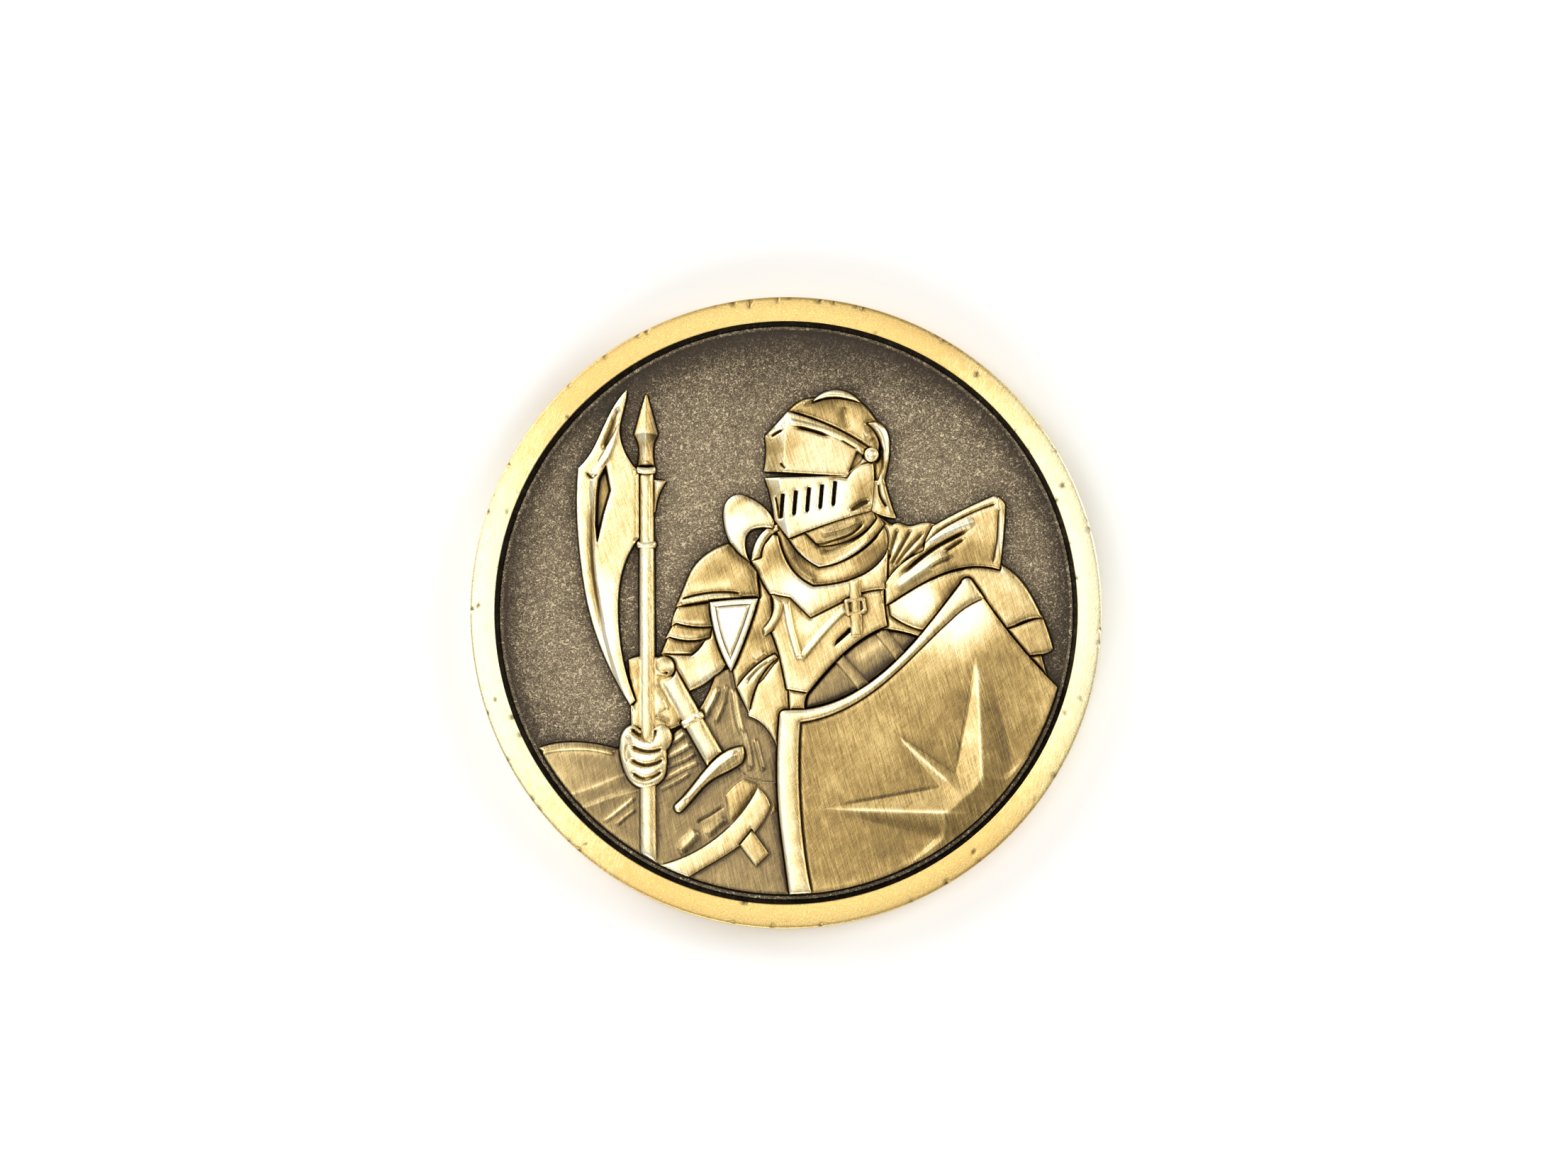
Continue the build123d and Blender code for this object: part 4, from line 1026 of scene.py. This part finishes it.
# ---------- materials
class Finish:
    """A node material under construction."""

    def __init__(self, name):
        self.material = bpy.data.materials.new(name)
        self.material.use_nodes = True
        self.tree = self.material.node_tree
        self.tree.nodes.clear()
        self.out = self.tree.nodes.new("ShaderNodeOutputMaterial")
        self.shader = self.tree.nodes.new("ShaderNodeBsdfPrincipled")
        self.tree.links.new(self.shader.outputs[0], self.out.inputs[0])

    def node(self, kind, **settings):
        node = self.tree.nodes.new("ShaderNode" + kind)
        for key, value in settings.items():
            setattr(node, key, value)
        return node

    def put(self, socket, value):
        """Links a socket to the input, or sets the input to a number or colour."""
        if isinstance(value, bpy.types.NodeSocket):
            self.tree.links.new(value, socket)
        else:
            socket.default_value = value

    def attribute(self, name):
        return self.node("Attribute", attribute_name=name).outputs["Fac"]

    def math(self, operation, a, b=None):
        node = self.node("Math", operation=operation)
        self.put(node.inputs[0], a)
        if b is not None:
            self.put(node.inputs[1], b)
        return node.outputs[0]

    def weighted(self, base, *terms):
        """base plus each (value, middle, weight) as (value - middle) * weight."""
        for value, middle, weight in terms:
            part = self.math("MULTIPLY", self.math("SUBTRACT", value, middle), weight)
            base = self.math("ADD", base, part)
        return base

    def ranged(self, value, low, high, to_low=0.0, to_high=1.0):
        """Soft step of the value between low and high."""
        node = self.node("MapRange", interpolation_type="SMOOTHSTEP")
        self.put(node.inputs["Value"], value)
        for key, number in (("From Min", low), ("From Max", high), ("To Min", to_low), ("To Max", to_high)):
            node.inputs[key].default_value = number
        return node.outputs[0]

    def mix(self, factor, a, b):
        node = self.node("Mix", data_type="RGBA")
        self.put(node.inputs[0], factor)
        self.put(node.inputs[6], a)
        self.put(node.inputs[7], b)
        return node.outputs[2]

    def ramp(self, value, *stops):
        """Colour for the value, from stops of (position, colour)."""
        node = self.node("ValToRGB")
        self.put(node.inputs[0], value)
        elements = node.color_ramp.elements
        while len(elements) < len(stops):
            elements.new(0.5)
        for element, (at, colour) in zip(elements, stops):
            element.position = at
            element.color = (*colour, 1)
        return node.outputs[0]

    def noise(self, size, turn=0.0, detail=2.0, roughness=0.5, distortion=0.0):
        """Noise with features of the given size in mm along x, y and z, turned about z by degrees."""
        coords = self.node("TexCoord").outputs["Object"]
        mapping = self.node("Mapping", vector_type="TEXTURE")
        mapping.inputs["Rotation"].default_value = (0, 0, math.radians(turn))
        mapping.inputs["Scale"].default_value = [s * MM for s in size]
        self.put(mapping.inputs["Vector"], coords)
        node = self.node("TexNoise")
        node.inputs["Scale"].default_value = 1.0
        node.inputs["Detail"].default_value = detail
        node.inputs["Roughness"].default_value = roughness
        node.inputs["Distortion"].default_value = distortion
        self.put(node.inputs["Vector"], mapping.outputs[0])
        return node.outputs["Fac"]

    def close(self, **inputs):
        """Sets the shader's inputs, with _ for a space in their names, and gives the material."""
        for name, value in inputs.items():
            self.put(self.shader.inputs[name.replace("_", " ")], value)
        return self.material

    def bump(self, height, distance):
        node = self.node("Bump")
        node.inputs["Distance"].default_value = distance * MM
        self.put(node.inputs["Height"], height)
        self.put(self.shader.inputs["Normal"], node.outputs[0])


BLACK = (0.012, 0.008, 0.004, 1)
BROWN = (0.10, 0.07, 0.03, 1)
PAINTED_HIGHLIGHT_WHITE = (1.0, 0.94, 0.75)            # painted highlight: the blown-out white given to the brightest tone


def brushed_brass(name, streak_turn, low, mid, gold, high):
    """Antique brass: burnished where it stands proud, brown lower down, black in creases and on the sides,
    from patina and painted shade, with painted highlights and painted shade carried in the tone up to a
    blown-out white.
    """
    m = Finish(name)
    cavity, tone = m.attribute("cavity"), m.attribute("tone")
    blotch = m.noise((0.9, 0.9, 0.9), detail=4.0, roughness=0.6)
    fine = m.noise((0.09, 0.09, 0.09), detail=3.0, roughness=0.65)
    streak = m.noise((0.055, 1.6, 1.0), streak_turn, detail=3.0, roughness=0.7)
    cross = m.noise((0.05, 0.9, 1.0), streak_turn - 62, detail=2.0, roughness=0.6)
    level = m.weighted(tone, (blotch, 0.5, 0.35), (fine, 0.5, 0.35), (streak, 0.5, 1.15),
                       (cross, 0.5, 0.45))
    colour = m.ramp(m.math("MULTIPLY", level, 0.75), (0.0, low), (0.32, mid), (0.56, gold),
                    (0.78, high), (0.98, PAINTED_HIGHLIGHT_WHITE))
    # patina and painted shade: brown, then black, where the point lies below its near surroundings and on
    # the sides of the pieces
    patina_and_shade = m.weighted(cavity, (fine, 0.5, 0.03), (blotch, 0.5, 0.03))
    colour = m.mix(m.ranged(patina_and_shade, 0.008, 0.055, 0.0, 0.75), colour, BROWN)
    colour = m.mix(m.ranged(patina_and_shade, 0.035, 0.1), colour, BLACK)
    rough = m.weighted(m.ranged(patina_and_shade, 0.02, 0.08, 0.3, 0.6), (streak, 0.5, 0.22), (fine, 0.5, 0.15))
    m.bump(m.weighted(streak, (cross, 0.5, 0.5), (fine, 0.5, 0.7)), 0.012)
    return m.close(Base_Color=colour, Metallic=1.0, Roughness=rough)


def rim_finish():
    """Brass pale on two sides from a painted sheen, with inner walls painted black as shade and brown
    dents, also brown along the outer corner.
    """
    m = Finish("rim brass")
    wall, dent = m.attribute("wall"), m.attribute("dent")
    blotch = m.noise((1.6, 1.6, 1.6), detail=4.0, roughness=0.6)
    fine = m.noise((0.11, 0.11, 0.11), detail=3.0, roughness=0.65)
    streak = m.noise((0.06, 0.8, 1.0), -18, detail=2.0, roughness=0.6)
    level = m.weighted(m.attribute("painted_sheen"), (fine, 0.5, 0.9), (streak, 0.5, 1.1), (blotch, 0.5, 0.35))
    colour = m.ramp(level, (0.0, (0.66, 0.48, 0.18)), (0.38, (0.68, 0.45, 0.155)),
                    (0.66, (0.82, 0.68, 0.33)), (1.0, (0.9, 0.82, 0.56)))
    colour = m.mix(m.ranged(dent, 0.35, 1.0, 0.0, 0.7), colour, (0.12, 0.07, 0.02, 1))
    # painted shade: the inner walls are painted black
    colour = m.mix(wall, colour, BLACK)
    m.bump(m.weighted(fine, (streak, 0.5, 0.8)), 0.012)
    return m.close(Base_Color=colour, Metallic=1.0, Roughness=m.ranged(fine, 0.25, 0.75, 0.24, 0.38))


def field_finish():
    """Grained brown field with short curled bright marks; darkened by painted shade beside the pieces and
    near the rim wall, and darker towards the top; black beside the pieces (painted shade with patina) and
    at the foot of the rim wall (painted shade).
    """
    m = Finish("field brass")
    moat, shade = m.attribute("moat"), m.attribute("shade")
    wave = m.noise((0.22, 0.22, 0.22), detail=0.5, roughness=0.5, distortion=1.4)
    worm = m.ranged(m.math("ABSOLUTE", m.math("SUBTRACT", wave, 0.5)), 0.0, 0.08, 0.64, 0.42)
    grain = m.weighted(worm, (m.noise((0.12, 0.12, 0.12), detail=2.0, distortion=1.0), 0.5, 0.3))
    blotch = m.noise((3.0, 3.0, 3.0), detail=2.0)
    level = m.weighted(grain, (blotch, 0.5, 0.1), (shade, 0.2, -0.2))
    colour = m.ramp(level, (0.34, (0.07, 0.053, 0.036)), (0.49, (0.235, 0.18, 0.116)),
                    (0.64, (0.72, 0.6, 0.385)))
    # painted shade beside the pieces and near the rim wall, and darker towards the top
    colour = m.mix(m.ranged(shade, 0.3, 1.2, 0.0, 0.6), colour, (0.06, 0.047, 0.037, 1))
    # painted shade with patina: black lines beside the pieces and at the foot of the rim wall
    colour = m.mix(m.ranged(moat, 0.07, 0.32), colour, BLACK)
    m.bump(grain, 0.08)
    return m.close(Base_Color=colour, Metallic=0.9, Roughness=m.ranged(grain, 0.3, 0.7, 0.6, 0.42))


def floor_finish():
    """Matt white paper."""
    m = Finish("floor")
    mottle = m.noise((30, 30, 30), detail=2.0)
    colour = m.ramp(mottle, (0.3, (0.92, 0.92, 0.92)), (0.7, (0.95, 0.95, 0.95)))
    return m.close(Base_Color=colour, Roughness=0.9, Specular_IOR_Level=0.0)


relief_brass = brushed_brass("relief brass", 16, (0.07, 0.052, 0.032), (0.3, 0.2, 0.07),
                             (0.66, 0.48, 0.2), (0.95, 0.83, 0.52))
cloth_brass = brushed_brass("cloth brass", 12, (0.08, 0.06, 0.04), (0.31, 0.222, 0.1),
                            (0.64, 0.48, 0.22), (0.92, 0.8, 0.5))
rim.data.materials.append(rim_finish())
disc.data.materials.append(field_finish())
for obj in relief_objects:
    obj.data.materials.append(cloth_brass if obj["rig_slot"] == "cloth_relief" else relief_brass)


# ---------- floor, light, camera
FLOOR_SIZE = 0.6
FLOOR_Z = -0.00002
corners = [(x * FLOOR_SIZE, y * FLOOR_SIZE, FLOOR_Z) for x, y in ((-1, -1), (1, -1), (1, 1), (-1, 1))]
floor_mesh = bpy.data.meshes.new("floor")
floor_mesh.from_pydata(corners, [], [(0, 1, 2, 3)])
floor = bpy.data.objects.new("floor", floor_mesh)
bpy.context.scene.collection.objects.link(floor)
floor.data.materials.append(floor_finish())

# the surroundings are bright at the horizon and darker overhead
world = bpy.data.worlds.new("studio")
bpy.context.scene.world = world
world.use_nodes = True
sky = world.node_tree
background = sky.nodes["Background"]
background.inputs[0].default_value = (1.0, 0.985, 0.96, 1)
height = sky.nodes.new("ShaderNodeSeparateXYZ")
fade = sky.nodes.new("ShaderNodeMapRange")
for key, number in (("From Min", 0.05), ("From Max", 0.6), ("To Min", 0.9), ("To Max", 0.34)):
    fade.inputs[key].default_value = number
sky.links.new(sky.nodes.new("ShaderNodeTexCoord").outputs["Generated"], height.inputs[0])
sky.links.new(height.outputs["Z"], fade.inputs["Value"])
sky.links.new(fade.outputs[0], background.inputs[1])


def leaning(lean, way, reach):
    """Place at a distance from the origin, leaning from overhead by degrees towards a compass way."""
    lean, way = math.radians(lean), math.radians(way)
    return Vector((math.sin(lean) * math.cos(way), math.sin(lean) * math.sin(way), math.cos(lean))) * reach


def looking(location, offset):
    """Matrix of a light or camera at the location, with its back turned to the offset."""
    back = offset.normalized()
    side = Vector((0, 1, 0)).cross(back).normalized()
    return Matrix.Translation(location) @ Matrix((side, back.cross(side), back)).transposed().to_4x4()


def softbox(name, way, lean, distance, size, radiance, colour=(1, 1, 1)):
    """Rectangular light that faces the coin."""
    location = leaning(lean, way, distance)
    data = bpy.data.lights.new(name, "AREA")
    data.shape = "RECTANGLE"
    data.size, data.size_y = size
    data.energy = radiance * math.pi * size[0] * size[1]
    data.color = colour
    obj = bpy.data.objects.new(name, data)
    obj.matrix_world = looking(location, location)
    bpy.context.scene.collection.objects.link(obj)


softbox("overhead strip", 165, 10, 0.8, (0.48, 0.34), 2.5, (1.0, 0.985, 0.95))
for way in (20, 140, 260):
    softbox("side box", way, 58, 0.8, (0.5, 0.4), 4.4)

AIM = Vector((-0.0001, 0.0017, COIN_H * MM))
CAMERA_LEAN, CAMERA_WAY, CAMERA_REACH = 3.0, 314, 0.42
FRAME_WIDTH = 0.1102                 # how much of the coin's plane the picture spans
offset = leaning(CAMERA_LEAN, CAMERA_WAY, CAMERA_REACH)
camera_data = bpy.data.cameras.new("camera")
camera_data.sensor_width = 36.0
camera_data.lens = camera_data.sensor_width * CAMERA_REACH / FRAME_WIDTH
camera_data.clip_start = 0.01
camera = bpy.data.objects.new("camera", camera_data)
camera.matrix_world = looking(AIM + offset, offset)
bpy.context.scene.collection.objects.link(camera)
bpy.context.scene.camera = camera
bpy.context.scene.view_settings.view_transform = "Standard"
